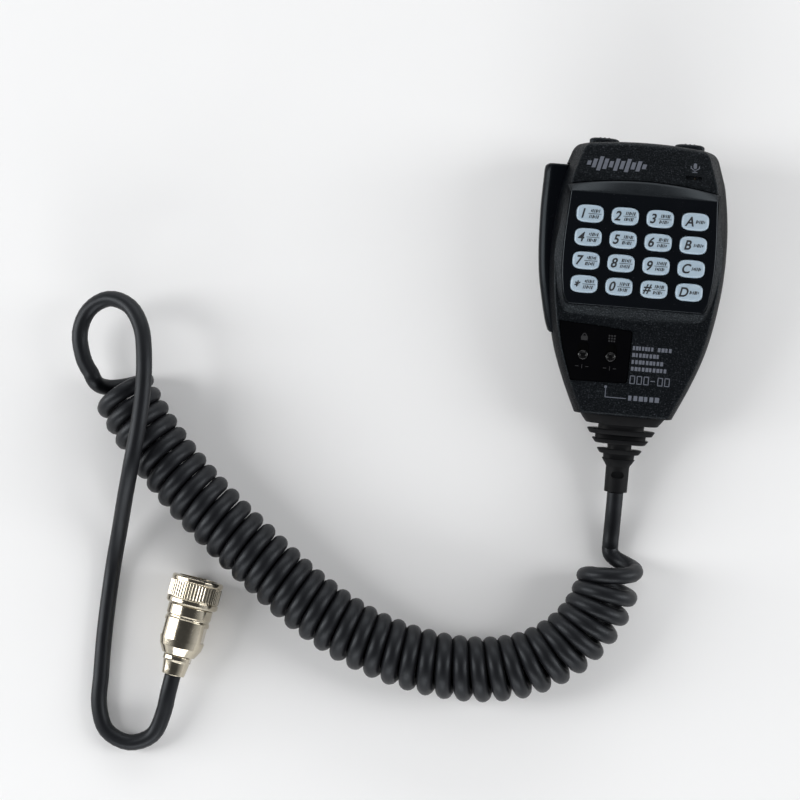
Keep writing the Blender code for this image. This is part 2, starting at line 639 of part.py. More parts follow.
def main_board(frame, finish):
    outline = [(17.0, -46.5), (23.5, -30.0), (24.2, -16.0), (24.2, 24.0), (18.6, 30.0), (18.6, BOARD_TOP_Y),
               (-18.6, BOARD_TOP_Y), (-18.6, 30.0), (-24.0, 24.0), (-24.0, -16.0), (-20.5, -24.0),
               (-20.0, -32.0), (-17.0, -46.5)]
    obj = piece("main_board", prism(outline, *BOARD_Z), finish, frame)
    window = moved(prism(circle(CAPSULE_RADIUS + 1.5, 16), 18.0, 21.0), *SOUND_XY)
    return combine(obj, "DIFFERENCE", [window])


def board_parts(frame, black, steel, sleeve, led, white):
    under = BOARD_Z[0] - GAP
    piece("tone_chip", box(-3.9, 3.9, -9.0, 1.0, under - 2.4, under), black, frame, bevel=0.3)
    can = superellipse(5.5, 2.2, 16, 2.6)
    piece("crystal", moved(prism(can, under - 3.6, under), 12.5, -2.0), steel, frame)
    cap = moved(prism(circle(2.5, 16), under - 6.5, under), 12.0, -17.0)
    piece("capacitor", cap, sleeve, frame)
    top = BOARD_Z[1] + GAP
    for label, x in (("left", -12.0), ("right", 8.0)):
        piece(f"backlight_{label}", box(x - 1.6, x + 1.6, 18.4, 20.0, top, top + 1.2), led, frame)
    header = box(-9.0, 9.0, -40.5, -36.0, under - 5.2, under)
    obj = piece("wire_header", header, white, frame)
    slots = []
    for i in range(8):
        x = -7.0 + 2.0 * i
        slots.append(box(x - 0.6, x + 0.6, -39.6, -37.0, under - 6.0, under - 1.0))
    combine(obj, "DIFFERENCE", slots)


def capsule(frame, metal, rubber):
    x, y = SOUND_XY
    can = turned([(19.7, CAPSULE_RADIUS), (21.6, CAPSULE_RADIUS), (21.9, CAPSULE_RADIUS - 0.4)], 20)
    piece("mic_capsule", moved(can, x, y), metal, frame)
    cup = turned([(18.7, 1.4), (18.7, CAPSULE_RADIUS + 0.9), (22.0, CAPSULE_RADIUS + 0.9),
                  (22.0, CAPSULE_RADIUS + GAP), (19.4, CAPSULE_RADIUS + GAP), (19.4, 1.4)], 20, closed=True)
    piece("capsule_holder", moved(cup, x, y), rubber, frame)


def screw(radius, head_radius, head_height, length):
    """A pan-head screw, head down, its shank upwards."""
    return turned([(0.0, head_radius * 0.7), (0.5, head_radius), (head_height, head_radius),
                   (head_height, radius), (length - 1.0, radius), (length, radius * 0.4)], 14)


def cross_recess(width, depth):
    return [box(-width, width, -0.35, 0.35, -1.0, depth), box(-0.35, 0.35, -width, width, -1.0, depth)]


def screws(frame, steel):
    for number, (x, y) in enumerate(CASE_SCREWS, 1):
        obj = piece(f"case_screw_{number}", moved(screw(1.2, 2.1, 1.9, 18.6), x, y, 1.2), steel, frame)
        combine(obj, "DIFFERENCE", [moved(cut, x, y, 1.2) for cut in cross_recess(1.3, 0.9)])


def hanger(frame, metal, steel):
    radius, thick = HANGER_HEAD
    low = -(HANGER_GAP + thick)
    profile = ((-GAP, 1.75), (-GAP, HANGER_NECK), (-HANGER_GAP, HANGER_NECK),
               (-HANGER_GAP - 0.3, radius - 0.2), (-HANGER_GAP - 1.0, radius), (low + 0.9, radius),
               (low + 0.2, radius - 0.5), (low, radius - 1.2), (low, 3.3), (low + 2.6, 3.3), (low + 2.6, 1.75))
    piece("hanger_button", moved(turned(profile, 24, closed=True), 0.0, HANGER_Y), metal, frame)
    obj = piece("hanger_screw", moved(screw(1.35, 2.9, 2.0, 12.8), 0.0, HANGER_Y, low + 0.3), steel, frame)
    combine(obj, "DIFFERENCE", [moved(cut, 0.0, HANGER_Y, low + 0.3) for cut in cross_recess(1.7, 1.0)])


def strain_relief(frame, finish):
    """Ribbed boot below the case, with a neck and a flange that the case closes on."""
    inside = ((-7.3, 7.6, 6.4), (-4.7, 7.6, 6.4), (-4.7, 5.5, 4.5), (0.3, 5.5, 4.5))
    rings = []
    for down, w, h in inside + BOOT:
        power = 2.0 if down > BOOT_ROUND_FROM else 3.0
        rings.append([(x, BOTTOM_Y - down, BOOT_Z + z) for x, z in superellipse(w, h, 20, power)])
    obj = piece("strain_relief", loft(rings), finish, frame)
    down, radius, half_length = BOOT_SLOT
    oval = [(y, x) for x, y in stadium(radius, -half_length, half_length, 6)]
    return combine(obj, "DIFFERENCE", [moved(prism(oval, 3.2, 8.0), 0.0, BOTTOM_Y - down, BOOT_Z)])


def cord_anchor(frame, rubber, metal):
    start, end = BOTTOM_Y + 7.6, BOTTOM_Y + 15.0
    stub = moved(along_y(prism(circle(2.7, 16), start, end)), z=BOOT_Z)
    piece("cord_end", stub, rubber, frame)
    saddle = [(-7.5, -5.0), (7.5, -5.0), (7.5, -3.8), (4.4, -3.8), (4.2, 0.0), (3.0, 3.0), (0.0, 4.2),
              (-3.0, 3.0), (-4.2, 0.0), (-4.4, -3.8), (-7.5, -3.8)]
    bm = loft([[(x, y, BOOT_Z + z) for x, z in saddle] for y in (start + 2.0, end - 2.0)])
    obj = piece("cord_clamp", bm, metal, frame)
    tunnel = moved(along_y(prism(circle(3.0, 16), start - 2.0, end + 2.0)), z=BOOT_Z)
    combine(obj, "DIFFERENCE", [tunnel])


# ---------------------------------------------------------------- cord and plug

def smooth(points, spacing):
    """Points about one spacing apart along a centripetal spline through the given ones."""
    known = [Vector(point) for point in points]
    known = [2 * known[0] - known[1]] + known + [2 * known[-1] - known[-2]]
    found = []
    for p0, p1, p2, p3 in zip(known, known[1:], known[2:], known[3:]):
        t1 = (p1 - p0).length ** 0.5
        t2 = t1 + (p2 - p1).length ** 0.5
        t3 = t2 + (p3 - p2).length ** 0.5
        count = max(1, round((p2 - p1).length / spacing))
        for step in range(count):
            t = t1 + (t2 - t1) * step / count
            a1 = p0 * ((t1 - t) / t1) + p1 * (t / t1)
            a2 = p1 * ((t2 - t) / (t2 - t1)) + p2 * ((t - t1) / (t2 - t1))
            a3 = p2 * ((t3 - t) / (t3 - t2)) + p3 * ((t - t2) / (t3 - t2))
            b1 = a1 * ((t2 - t) / t2) + a2 * (t / t2)
            b2 = a2 * ((t3 - t) / (t3 - t1)) + a3 * ((t - t1) / (t3 - t1))
            found.append(b1 * ((t2 - t) / (t2 - t1)) + b2 * ((t - t1) / (t2 - t1)))
    return found + [known[-2]]


def tube(name, points, diameter, sides, finish):
    """A cord as a curve with a round bevel and closed ends."""
    curve = bpy.data.curves.new(name, "CURVE")
    curve.dimensions = "3D"
    curve.bevel_depth = diameter / 2 * MM
    curve.bevel_resolution = sides
    curve.use_fill_caps = True
    spline = curve.splines.new("POLY")
    spline.points.add(len(points) - 1)
    for slot, point in zip(spline.points, points):
        slot.co = (*(point * MM), 1.0)
    curve.materials.append(finish)
    obj = bpy.data.objects.new(name, curve)
    bpy.context.scene.collection.objects.link(obj)
    return obj


def cords(frame, finish):
    """Straight tails at both ends of the curly cord, whose turns fill one fat tube."""
    boot_end = frame.matrix_world @ (Vector((0.0, BOTTOM_Y - BOOT[-1][0] - GAP, BOOT_Z)) * MM) / MM
    tube("mic_tail", smooth([boot_end] + list(MIC_TAIL_ROUTE), TAIL_SPACING), CORD_DIAMETER, 2, finish)
    coil = smooth([(x, y, COIL_DIAMETER / 2) for x, y in COIL_ROUTE], COIL_SPACING)
    tube("curly_cord", coil, COIL_DIAMETER, 4, finish)
    along = (coil[-1] - coil[-2]).normalized()
    across = Vector((-along.y, along.x, 0.0)) * COIL_MEAN_RADIUS
    start = coil[-1] + across + along * 2.5 * GAP
    tube("plug_tail", smooth([start] + list(PLUG_TAIL_ROUTE), TAIL_SPACING), CORD_DIAMETER, 2, finish)


def plug(nickel, black):
    """Screw-ring plug; in its frame Z runs from the mating face back along the cord."""
    heading = Vector(PLUG_HEADING).normalized()
    frame = bpy.data.objects.new("plug_frame", None)
    bpy.context.scene.collection.objects.link(frame)
    frame.location = (Vector(PLUG_REAR) + heading * PLUG_LENGTH) * MM
    frame.rotation_euler = (-heading).to_track_quat("Z", "Y").to_euler()
    bore, barrel = BARREL_RADIUS
    shell = PLUG_BODY_RADIUS
    low, high = RING_SPAN
    body = ((0.0, bore), (0.0, barrel), (high + GAP, barrel), (high + GAP, shell), (22.0, shell),
            (24.5, shell - 0.5), (27.5, shell - 2.2), (27.5, 3.4), (12.0, 3.4), (12.0, bore))
    piece("plug_body", turned(body, 28, closed=True), nickel, frame)
    inner, outer = RING_RADIUS
    ring = ((low, inner), (low, outer - 0.5), (low + 0.5, outer), (high - 0.6, outer), (high, outer - 0.6),
            (high, inner))
    piece("coupling_ring", turned(ring, 28, closed=True), nickel, frame)
    insert = piece("plug_insert", prism(circle(bore - GAP, 24), 0.6, 11.7), black, frame)
    sockets = [prism(circle(0.6, 8), -1.0, 6.0)]
    for i in range(7):
        angle = 2 * math.pi * i / 7
        sockets.append(moved(prism(circle(0.6, 8), -1.0, 6.0), 3.7 * math.cos(angle), 3.7 * math.sin(angle)))
    combine(insert, "DIFFERENCE", sockets)
    clamp = turned([(27.8, 5.6), (29.4, 5.6), (30.0, 4.9), (PLUG_LENGTH, 4.2)], 20)
    piece("plug_clamp", clamp, nickel, frame)


# ---------------------------------------------------------------- assembly

def tilt_angle():
    """The lean at which the hanger button's head and the lower back edge both touch the table."""
    drop = HANGER_GAP + HANGER_HEAD[1]
    head_y = HANGER_Y - HANGER_HEAD[0] + 1.2
    edge_y = CASE_MIDDLE_Y + (BOTTOM_Y - CASE_MIDDLE_Y) * REAR_RINGS[0][1]
    return math.atan2(drop, head_y - edge_y)


def stand(frame):
    """Moves the microphone so that the middle of its base is at the origin and it stands on z = 0."""
    bpy.context.view_layer.update()
    graph = bpy.context.evaluated_depsgraph_get()
    corners = []
    for obj in bpy.data.objects:
        if obj.type == "MESH" and not obj.hide_render:
            shown = obj.evaluated_get(graph)
            corners += [shown.matrix_world @ vertex.co for vertex in shown.data.vertices]
    low = [min(point[i] for point in corners) for i in range(3)]
    high = [max(point[i] for point in corners) for i in range(3)]
    frame.location = (-(low[0] + high[0]) / 2, -(low[1] + high[1]) / 2, -low[2])
    bpy.context.view_layer.update()


def build():
    clear_scene()
    shell = material("textured_black_plastic", (0.018, 0.018, 0.020), 0.55)
    gloss = material("gloss_black_plastic", (0.012, 0.012, 0.013), 0.18)
    smoke = material("smoked_window", (0.008, 0.008, 0.009), 0.10)
    pale = material("pale_blue_key", (0.55, 0.63, 0.70), 0.35)
    silicone = material("grey_silicone", (0.42, 0.44, 0.45), 0.6)
    rubber = material("black_rubber", (0.015, 0.015, 0.016), 0.7)
    jacket = material("cord_jacket", (0.014, 0.014, 0.015), 0.42)
    steel = material("zinc_steel", (0.60, 0.60, 0.58), 0.35, 1.0)
    nickel = material("nickel_plate", (0.72, 0.69, 0.64), 0.22, 1.0)
    black = material("moulded_black", (0.02, 0.02, 0.02), 0.45)
    board = material("circuit_board", (0.03, 0.13, 0.06), 0.45)
    white = material("natural_nylon", (0.75, 0.73, 0.66), 0.5)
    orange = material("orange_plunger", (0.70, 0.22, 0.05), 0.45)
    led = material("led_lens", (0.80, 0.78, 0.55), 0.25)
    blue = material("capacitor_sleeve", (0.05, 0.06, 0.12), 0.4)

    frame = bpy.data.objects.new("microphone_frame", None)
    bpy.context.scene.collection.objects.link(frame)
    front_case(frame, shell)
    rear_case(frame, shell)
    keypad_panel(frame, gloss)
    switch_window(frame, smoke)
    keys(frame, pale)
    keypad_membrane(frame, silicone)
    slide_switches(frame, black)
    top_buttons(frame, shell, black)
    ptt_lever(frame, gloss)
    ptt_works(frame, steel, black, orange)
    main_board(frame, board)
    board_parts(frame, black, steel, blue, led, white)
    capsule(frame, nickel, rubber)
    screws(frame, steel)
    hanger(frame, nickel, steel)
    strain_relief(frame, rubber)
    cord_anchor(frame, jacket, steel)
    frame.rotation_euler = (tilt_angle(), 0.0, 0.0)
    stand(frame)
    cords(frame, jacket)
    plug(nickel, black)


build()
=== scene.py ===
import json
import math

import bmesh
import bpy
from mathutils import Matrix, Vector


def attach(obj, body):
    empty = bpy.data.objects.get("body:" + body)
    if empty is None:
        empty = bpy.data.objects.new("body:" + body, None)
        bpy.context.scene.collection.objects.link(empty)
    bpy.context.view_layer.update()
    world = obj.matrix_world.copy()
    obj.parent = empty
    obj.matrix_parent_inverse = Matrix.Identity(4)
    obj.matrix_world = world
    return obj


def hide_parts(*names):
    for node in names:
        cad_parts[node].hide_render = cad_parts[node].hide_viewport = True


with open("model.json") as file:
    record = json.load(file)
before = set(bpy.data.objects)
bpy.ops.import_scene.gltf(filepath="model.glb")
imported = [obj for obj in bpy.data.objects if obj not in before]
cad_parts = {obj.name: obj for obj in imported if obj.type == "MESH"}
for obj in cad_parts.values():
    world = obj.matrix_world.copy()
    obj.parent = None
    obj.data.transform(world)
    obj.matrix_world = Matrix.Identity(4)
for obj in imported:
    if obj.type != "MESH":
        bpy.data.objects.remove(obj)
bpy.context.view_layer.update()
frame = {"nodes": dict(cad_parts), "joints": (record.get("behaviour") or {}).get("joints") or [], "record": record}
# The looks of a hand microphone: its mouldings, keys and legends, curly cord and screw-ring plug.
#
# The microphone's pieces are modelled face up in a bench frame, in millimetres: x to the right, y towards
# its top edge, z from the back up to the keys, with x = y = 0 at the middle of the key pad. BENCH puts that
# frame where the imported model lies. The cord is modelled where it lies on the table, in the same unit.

MM = 0.001
GAP = 0.3

# ---- where the microphone lies

JOINTS = {joint["name"]: joint for joint in frame["joints"]}
PRESS_AXIS = Vector(JOINTS["key_1_press"]["axis"])
LEAN = Matrix.Rotation(math.atan2(PRESS_AXIS.y, -PRESS_AXIS.z), 4, "X")
PTT_PIVOT = Vector((-25.2, -27.8, 14.0))
BENCH = (Matrix.Translation(Vector(JOINTS["ptt_press"]["pos_m"]) - LEAN @ (PTT_PIVOT * MM)) @ LEAN
         @ Matrix.Scale(MM, 4))
PLUG_FACE = Vector(JOINTS["coupling_ring_turn"]["pos_m"])
PLUG_AXIS = Vector(JOINTS["coupling_ring_turn"]["axis"])
PLUG = (Matrix.Translation(PLUG_FACE) @ (-PLUG_AXIS).to_track_quat("Z", "Y").to_matrix().to_4x4()
        @ Matrix.Scale(MM, 4))

# ---- sizes

# Case: half-widths (y, half-width) up the side, its arched top edge, its front (y, height) and its shoulders
SIDE = ((-59.3, 17.9), (-48.0, 23.0), (-36.0, 27.4), (-24.0, 30.1), (-10.0, 31.9), (2.0, 32.3),
        (14.0, 31.6), (26.0, 29.7), (36.0, 26.9))
BOTTOM_Y = -59.3
CORNER_Y = 36.0
TOP_Y = 39.8
TOP_HALF = 23.0
ARCH = 1.8
ARCH_HALF = 25.0
ARCH_FROM_Y = 26.0
PARTING_Z = 14.0
FACE_Z = ((-58.2, 24.35), (-26.0, 27.0), (25.0, 27.0), (38.2, 24.03))
SHOULDER_Z = 16.0
SHOULDER_INSET = (3.0, 4.6)
SHOULDER_GROWS = (-8.0, 18.0)
SHOULDER_ROUND = 0.9
WALL = 2.2

# Cord: its curl, and the routes of the curl and its two tails on the table
CORD_DIAMETER = 6.0
COIL_RADIUS = 9.0
COIL_PITCH = 6.35
COIL_HEIGHT = 12.0
COIL_EASE = 16.0
COIL_ROUTE = ((2.1, -83.5), (2.0, -96.0), (-3.0, -110.0), (-13.0, -121.5), (-27.5, -129.5), (-46.0, -132.5),
              (-67.0, -130.5), (-88.0, -124.0), (-107.0, -113.5), (-124.0, -101.0), (-141.0, -87.5),
              (-157.0, -73.5), (-171.0, -58.5), (-181.0, -45.0), (-188.0, -32.0))
MIC_TAIL_ROUTE = ((2.1, -71.5, 6.5), (2.1, -77.5, 4.3), (2.1, -83.0, 3.4))
PLUG_TAIL_ROUTE = ((-198.9, -32.0, 12.0), (-201.5, -21.5, 13.0), (-198.5, -13.0, 15.0), (-190.8, -8.6, 18.5),
                   (-182.0, -11.2, 22.5), (-176.3, -19.0, 25.8), (-173.8, -30.0, 27.5), (-173.0, -42.5, 27.7),
                   (-173.4, -55.0, 27.7), (-174.8, -68.0, 26.0), (-177.2, -80.5, 18.8), (-179.8, -93.0, 9.4),
                   (-181.8, -106.5, 4.0), (-182.6, -121.0, 3.0), (-182.8, -135.0, 3.0), (-182.5, -148.0, 3.0),
                   (-182.1, -159.0, 3.0), (-178.4, -167.8, 3.0), (-169.6, -171.5, 3.4), (-160.8, -167.8, 4.8),
                   (-157.1, -159.0, 7.2), (-155.8, -151.5, 9.2), (-154.7, -145.0, 9.6))

# Raised key field: (x, y) at its top and at its foot, from its upper corner round to its lower side's middle
FIELD_Z = 28.9
FIELD_FOOT_Z = 26.3
FIELD_UPPER = (((0.0, 20.3), (0.0, 25.7)), ((9.0, 20.3), (9.0, 25.4)), ((17.5, 20.3), (17.5, 24.6)),
               ((26.6, 20.3), (27.4, 22.6)))
FIELD_LOWER = (((26.6, 20.3), (27.4, 22.6)), ((26.9, 15.0), (28.3, 15.6)), ((27.1, 9.0), (28.9, 9.0)),
               ((27.5, 1.0), (30.0, 1.0)), ((27.4, -7.0), (29.9, -7.0)), ((26.6, -14.0), (28.7, -14.4)),
               ((25.7, -18.3), (27.0, -20.4)), ((24.9, -19.7), (25.6, -23.2)), ((23.4, -20.2), (23.0, -24.5)),
               ((12.0, -20.2), (12.0, -25.7)), ((0.0, -20.2), (0.0, -26.1)))
FIELD_OPENING = (24.8, 17.0)

# Keypad panel: (y, half-width), its faces and the strip that bends down behind the keys
PANEL_WIDTH = ((-19.9, 23.6), (-18.0, 25.4), (-14.0, 26.3), (-7.0, 27.1), (1.0, 27.2), (9.0, 26.9),
               (15.0, 26.5), (20.2, 26.2))
PANEL_Z = 29.2
PANEL_THICK = 1.0
PANEL_ROUND = 0.45
BAND_FALL = 2.7
BAND_HALF = 26.4
BAND_END_Y = 25.6
BAND_ARCH = 2.6

# Keys and the ink on them
KEY_PITCH = (12.5, 8.4)
KEY_NAMES = (("1", "2", "3", "a"), ("4", "5", "6", "b"), ("7", "8", "9", "c"), ("star", "0", "hash", "d"))
KEY_MARKS = {"star": "*", "hash": "#"}
KEY_HALF = (4.85, 3.15)
KEY_BOTTOM_Z = 23.2
KEY_TOP_Z = 31.3
KEY_CROWN = 0.22
KEY_ROUND = 0.8
KEY_POWER = 3.3
INK_LIFT = 0.03
SLANT = 0.22
GLYPH_HEIGHT = 0.74
TICK_PITCH = 0.58

# Slide switches behind the dark window
WINDOW_OUTLINE = ((-26.2, -26.3), (-12.0, -27.2), (-0.6, -28.2), (0.1, -28.7), (-0.2, -46.4), (-1.0, -47.0),
                  (-20.5, -47.3), (-21.3, -44.4), (-23.4, -38.4), (-25.0, -32.6))
WINDOW_MIDDLE = (-12.5, -36.8)
WINDOW_SUNK = 0.15
KNOB_XY = ((-16.8, -38.0), (-6.8, -38.0))
KNOB_RADIUS = 1.8
KNOB_TRAVEL = 2.7

# Push-to-talk lever: outer edge (y, x), ends of its height
LEVER_OUTER = ((-31.0, -29.9), (-27.0, -31.4), (-19.0, -33.3), (-11.0, -34.9), (-3.0, -35.8),
               (6.0, -36.3), (16.0, -36.5), (24.0, -36.3), (29.2, -36.0), (30.2, -35.3))
LEVER_Z = (8.3, 19.7)
LEVER_DEPTH = 3.6
PLUNGER_Y = 6.0
PLUNGER_Z = 15.5

# Top edge, screws, rear case (height, scale of its outline) and hanger button
TOP_BUTTON_X = 15.4
TOP_BUTTON_HALF = (5.4, 2.3)
TOP_BUTTON_Z = 17.7
SOUND_XY = (17.2, 28.3)
CASE_SCREWS = ((-22.6, 32.6), (22.6, 32.6), (-13.2, -49.5), (13.2, -49.5))
REAR_RINGS = ((0.0, 0.90), (0.5, 0.94), (1.8, 0.968), (5.0, 0.985), (PARTING_Z - GAP, 0.994))
CASE_MIDDLE_Y = -9.5
HANGER_Y = 12.0
HANGER_GAP = 5.6
HANGER_HEAD = (7.0, 3.0)
HANGER_NECK = 3.9

# Strain relief: (distance below the case, half-width, half-height), and where its section turns round
BOOT = ((0.0, 15.8, 8.6), (3.4, 13.2, 7.6), (3.4, 8.4, 6.6), (5.5, 8.4, 6.4), (5.5, 12.5, 7.2),
        (7.2, 11.5, 6.8), (7.2, 9.4, 4.6), (9.0, 9.2, 4.6), (9.0, 10.4, 6.4), (10.6, 9.2, 6.0),
        (10.6, 4.4, 5.2), (12.7, 4.4, 5.2), (12.7, 8.3, 5.8), (14.3, 7.2, 5.4), (14.3, 5.8, 4.3),
        (16.2, 5.6, 4.3), (16.2, 6.1, 5.0), (18.4, 4.7, 4.5), (19.0, 4.3, 4.3), (28.4, 4.2, 4.2))
BOOT_Z = 13.0
BOOT_LENGTH = 28.4
BOOT_ROUNDS = (16.0, 18.0)
BOOT_SLOT = (22.0, 1.2, 1.15)

# Plug, along its axis from the mating face back to the cord
PLUG_LENGTH = 35.0
BARREL_RADIUS = (5.9, 6.9)
PLUG_BODY_RADIUS = 8.3
RING_RADIUS = (7.2, 9.6)
RING_SPAN = (-1.5, 9.0)
KNURLS = 54

# Camera, in the bench frame: a point at the keys' height, its place from there along its own axes, its turns
# in degrees and its focal length
CAMERA_TARGET = (0.0, 0.0, 31.0)
CAMERA_OFFSET = (-85.6, -52.5, 700.0)
CAMERA_TURN = (-3.2, 3.3, 4.7)
CAMERA_LENS = 88.2

# Light: softboxes (place, size, watts) that face the middle of the table, and a sky that fades upwards
SOFTBOXES = {
    "top_light": ((-0.1, 1.25, 0.5), (1.6, 0.5), 6.5),
    "front_light": ((-0.1, -1.3, 0.5), (1.5, 0.4), 10.0),
    "left_light": ((-1.4, -0.1, 0.6), (0.5, 1.4), 15.0),
    "right_light": ((1.25, 0.1, 0.55), (0.5, 1.4), 12.0),
    "overhead_card": ((0.0, 0.7, 1.0), (1.4, 0.5), 1.4),
}
LIT_PLACE = (-0.06, -0.05, 0.0)
SKY_FADE = {"From Min": 0.1, "From Max": 0.8, "To Min": 0.75, "To Max": 0.07}


# ---- curves and outlines

def share_of(low, high, at):
    """How far a place is from low to high, from 0 to 1."""
    return min(max((at - low) / (high - low), 0.0), 1.0)


def interpolate(table, at):
    """A smooth curve through (position, value) pairs, read at one position."""
    if at <= table[0][0]:
        return table[0][1]
    slopes = []
    for i in range(len(table)):
        low = table[max(i - 1, 0)]
        high = table[min(i + 1, len(table) - 1)]
        slopes.append((high[1] - low[1]) / (high[0] - low[0]))
    for i in range(len(table) - 1):
        (x0, y0), (x1, y1) = table[i], table[i + 1]
        if at <= x1:
            span = x1 - x0
            t = (at - x0) / span
            return (y0 * (1 + 2 * t) * (1 - t) ** 2 + slopes[i] * span * t * (1 - t) ** 2
                    + y1 * t * t * (3 - 2 * t) + slopes[i + 1] * span * t * t * (t - 1))
    return table[-1][1]


def straight(table, at):
    """Straight lines through (position, value) pairs; the first and last lines run on past their ends."""
    for (x0, y0), (x1, y1) in zip(table, table[1:]):
        if at <= x1:
            break
    return y0 + (y1 - y0) * (at - x0) / (x1 - x0)


def spline(points, steps):
    """Points along a centripetal spline through the given ones, a number of steps from each to the next."""
    known = [Vector(point) for point in points]
    known = [2 * known[0] - known[1]] + known + [2 * known[-1] - known[-2]]
    found = []
    for p0, p1, p2, p3 in zip(known, known[1:], known[2:], known[3:]):
        t1 = (p1 - p0).length ** 0.5
        t2 = t1 + (p2 - p1).length ** 0.5
        t3 = t2 + (p3 - p2).length ** 0.5
        count = steps if isinstance(steps, int) else max(1, round((p2 - p1).length / steps))
        for step in range(count):
            t = t1 + (t2 - t1) * step / count
            a1 = p0 * ((t1 - t) / t1) + p1 * (t / t1)
            a2 = p1 * ((t2 - t) / (t2 - t1)) + p2 * ((t - t1) / (t2 - t1))
            a3 = p2 * ((t3 - t) / (t3 - t2)) + p3 * ((t - t2) / (t3 - t2))
            b1 = a1 * ((t2 - t) / t2) + a2 * (t / t2)
            b2 = a2 * ((t3 - t) / (t3 - t1)) + a3 * ((t - t1) / (t3 - t1))
            found.append(b1 * ((t2 - t) / (t2 - t1)) + b2 * ((t - t1) / (t2 - t1)))
    return found + [known[-2]]


def superellipse(half_x, half_y, count, power):
    """An outline between an ellipse, at power 2, and its box."""
    points = []
    for i in range(count):
        angle = 2 * math.pi * (i + 0.5) / count
        c, s = math.cos(angle), math.sin(angle)
        points.append((math.copysign(abs(c) ** (2 / power), c) * half_x,
                       math.copysign(abs(s) ** (2 / power), s) * half_y))
    return points


def circle(radius, count):
    return superellipse(radius, radius, count, 2.0)


def stadium(radius, low_y, high_y, count=16):
    """A slot's outline: half circles about two points on the Y axis."""
    points = []
    for start, middle in ((0.0, high_y), (math.pi, low_y)):
        for i in range(count + 1):
            angle = start + math.pi * i / count
            points.append((radius * math.cos(angle), middle + radius * math.sin(angle)))
    return points


def rounded(outline, radius, steps=6, closed=True):
    """The same outline with each corner rounded; an open one keeps its two ends."""
    points = []
    corners = [Vector(point) for point in outline]
    for i, corner in enumerate(corners):
        if not closed and i in (0, len(corners) - 1):
            points.append(tuple(corner))
            continue
        before, after = corners[i - 1] - corner, corners[(i + 1) % len(corners)] - corner
        start = corner + before.normalized() * min(radius, before.length / 2.05)
        end = corner + after.normalized() * min(radius, after.length / 2.05)
        for step in range(steps + 1):
            t = step / steps
            points.append(tuple(start * (1 - t) ** 2 + corner * 2 * t * (1 - t) + end * t * t))
    return points


def eased(profile, radius, closed=False, steps=3):
    """A turned profile with its corners rounded by a small radius."""
    return rounded(profile, radius, steps, closed)


# ---- solids

def loft(rings, closed=False):
    """A closed solid through rings of equal point counts, with flat ends, or closed round a bore."""
    bm = bmesh.new()
    rows = [[bm.verts.new(point) for point in ring] for ring in rings]
    count = len(rows[0])
    for low, high in zip(rows, rows[1:] + (rows[:1] if closed else [])):
        for i in range(count):
            j = (i + 1) % count
            bm.faces.new((low[i], low[j], high[j], high[i]))
    if not closed:
        bm.faces.new(list(reversed(rows[0])))
        bm.faces.new(rows[-1])
    bmesh.ops.recalc_face_normals(bm, faces=bm.faces)
    return bm


def stack(*layers):
    """A solid through outlines, each at its height."""
    return loft([[(x, y, z) for x, y in outline] for outline, z in layers])


def prism(outline, z0, z1):
    return stack((outline, z0), (outline, z1))


def box(x0, x1, y0, y1, z0, z1):
    return prism([(x0, y0), (x1, y0), (x1, y1), (x0, y1)], z0, z1)


def turned(profile, count, closed=False, ripple=None):
    """A solid of revolution about Z from (z, radius) pairs; ripple adds to the radius."""
    rings = []
    for z, radius in profile:
        ring = []
        for i in range(count):
            angle = 2 * math.pi * (i + 0.5) / count
            r = radius + (ripple(angle, z, radius) if ripple else 0.0)
            ring.append((r * math.cos(angle), r * math.sin(angle), z))
        rings.append(ring)
    return loft(rings, closed)


def sheet_solid(top, bottom):
    """A closed solid between two grids of points with the same rows and columns."""
    bm = bmesh.new()
    grids = [[[bm.verts.new(point) for point in row] for row in grid] for grid in (top, bottom)]
    rows, columns = len(top), len(top[0])
    for grid in grids:
        for i in range(rows - 1):
            for j in range(columns - 1):
                bm.faces.new((grid[i][j], grid[i][j + 1], grid[i + 1][j + 1], grid[i + 1][j]))
    border = ([(0, j) for j in range(columns)]
              + [(i, columns - 1) for i in range(1, rows)]
              + [(rows - 1, j) for j in range(columns - 2, -1, -1)]
              + [(i, 0) for i in range(rows - 2, 0, -1)])
    for (i0, j0), (i1, j1) in zip(border, border[1:] + border[:1]):
        bm.faces.new((grids[0][i0][j0], grids[0][i1][j1], grids[1][i1][j1], grids[1][i0][j0]))
    bmesh.ops.recalc_face_normals(bm, faces=bm.faces)
    return bm


def moved(bm, x=0.0, y=0.0, z=0.0, turn=None):
    if turn:
        bmesh.ops.transform(bm, matrix=turn, verts=bm.verts)
    bmesh.ops.translate(bm, vec=(x, y, z), verts=bm.verts)
    return bm


def along_y(bm):
    """Turns a solid made along Z so that it runs along Y instead."""
    return moved(bm, turn=Matrix.Rotation(math.radians(-90), 4, "X"))


def meshed(name, bm):
    mesh = bpy.data.meshes.new(name)
    bm.to_mesh(mesh)
    bm.free()
    return mesh


def linked(name, data):
    made = bpy.data.objects.new(name, data)
    bpy.context.scene.collection.objects.link(made)
    return made


def merged(solids):
    """Separate solids in one mesh."""
    whole = bmesh.new()
    for bm in solids:
        part = meshed("part", bm)
        whole.from_mesh(part)
        bpy.data.meshes.remove(part)
    return whole


def carve(base, cuts=(), joined=()):
    """A solid with others joined to it, and then others cut from it, by exact Booleans."""
    made = [linked("carve", meshed("carve", bm)) for bm in (base, *joined, *cuts)]
    for number, tool in enumerate(made[1:]):
        step = made[0].modifiers.new("step", "BOOLEAN")
        step.operation = "UNION" if number < len(joined) else "DIFFERENCE"
        step.solver = "EXACT"
        step.object = tool
    result = bmesh.new()
    result.from_object(made[0], bpy.context.evaluated_depsgraph_get())
    for obj in made:
        mesh = obj.data
        bpy.data.objects.remove(obj)
        bpy.data.meshes.remove(mesh)
    return result


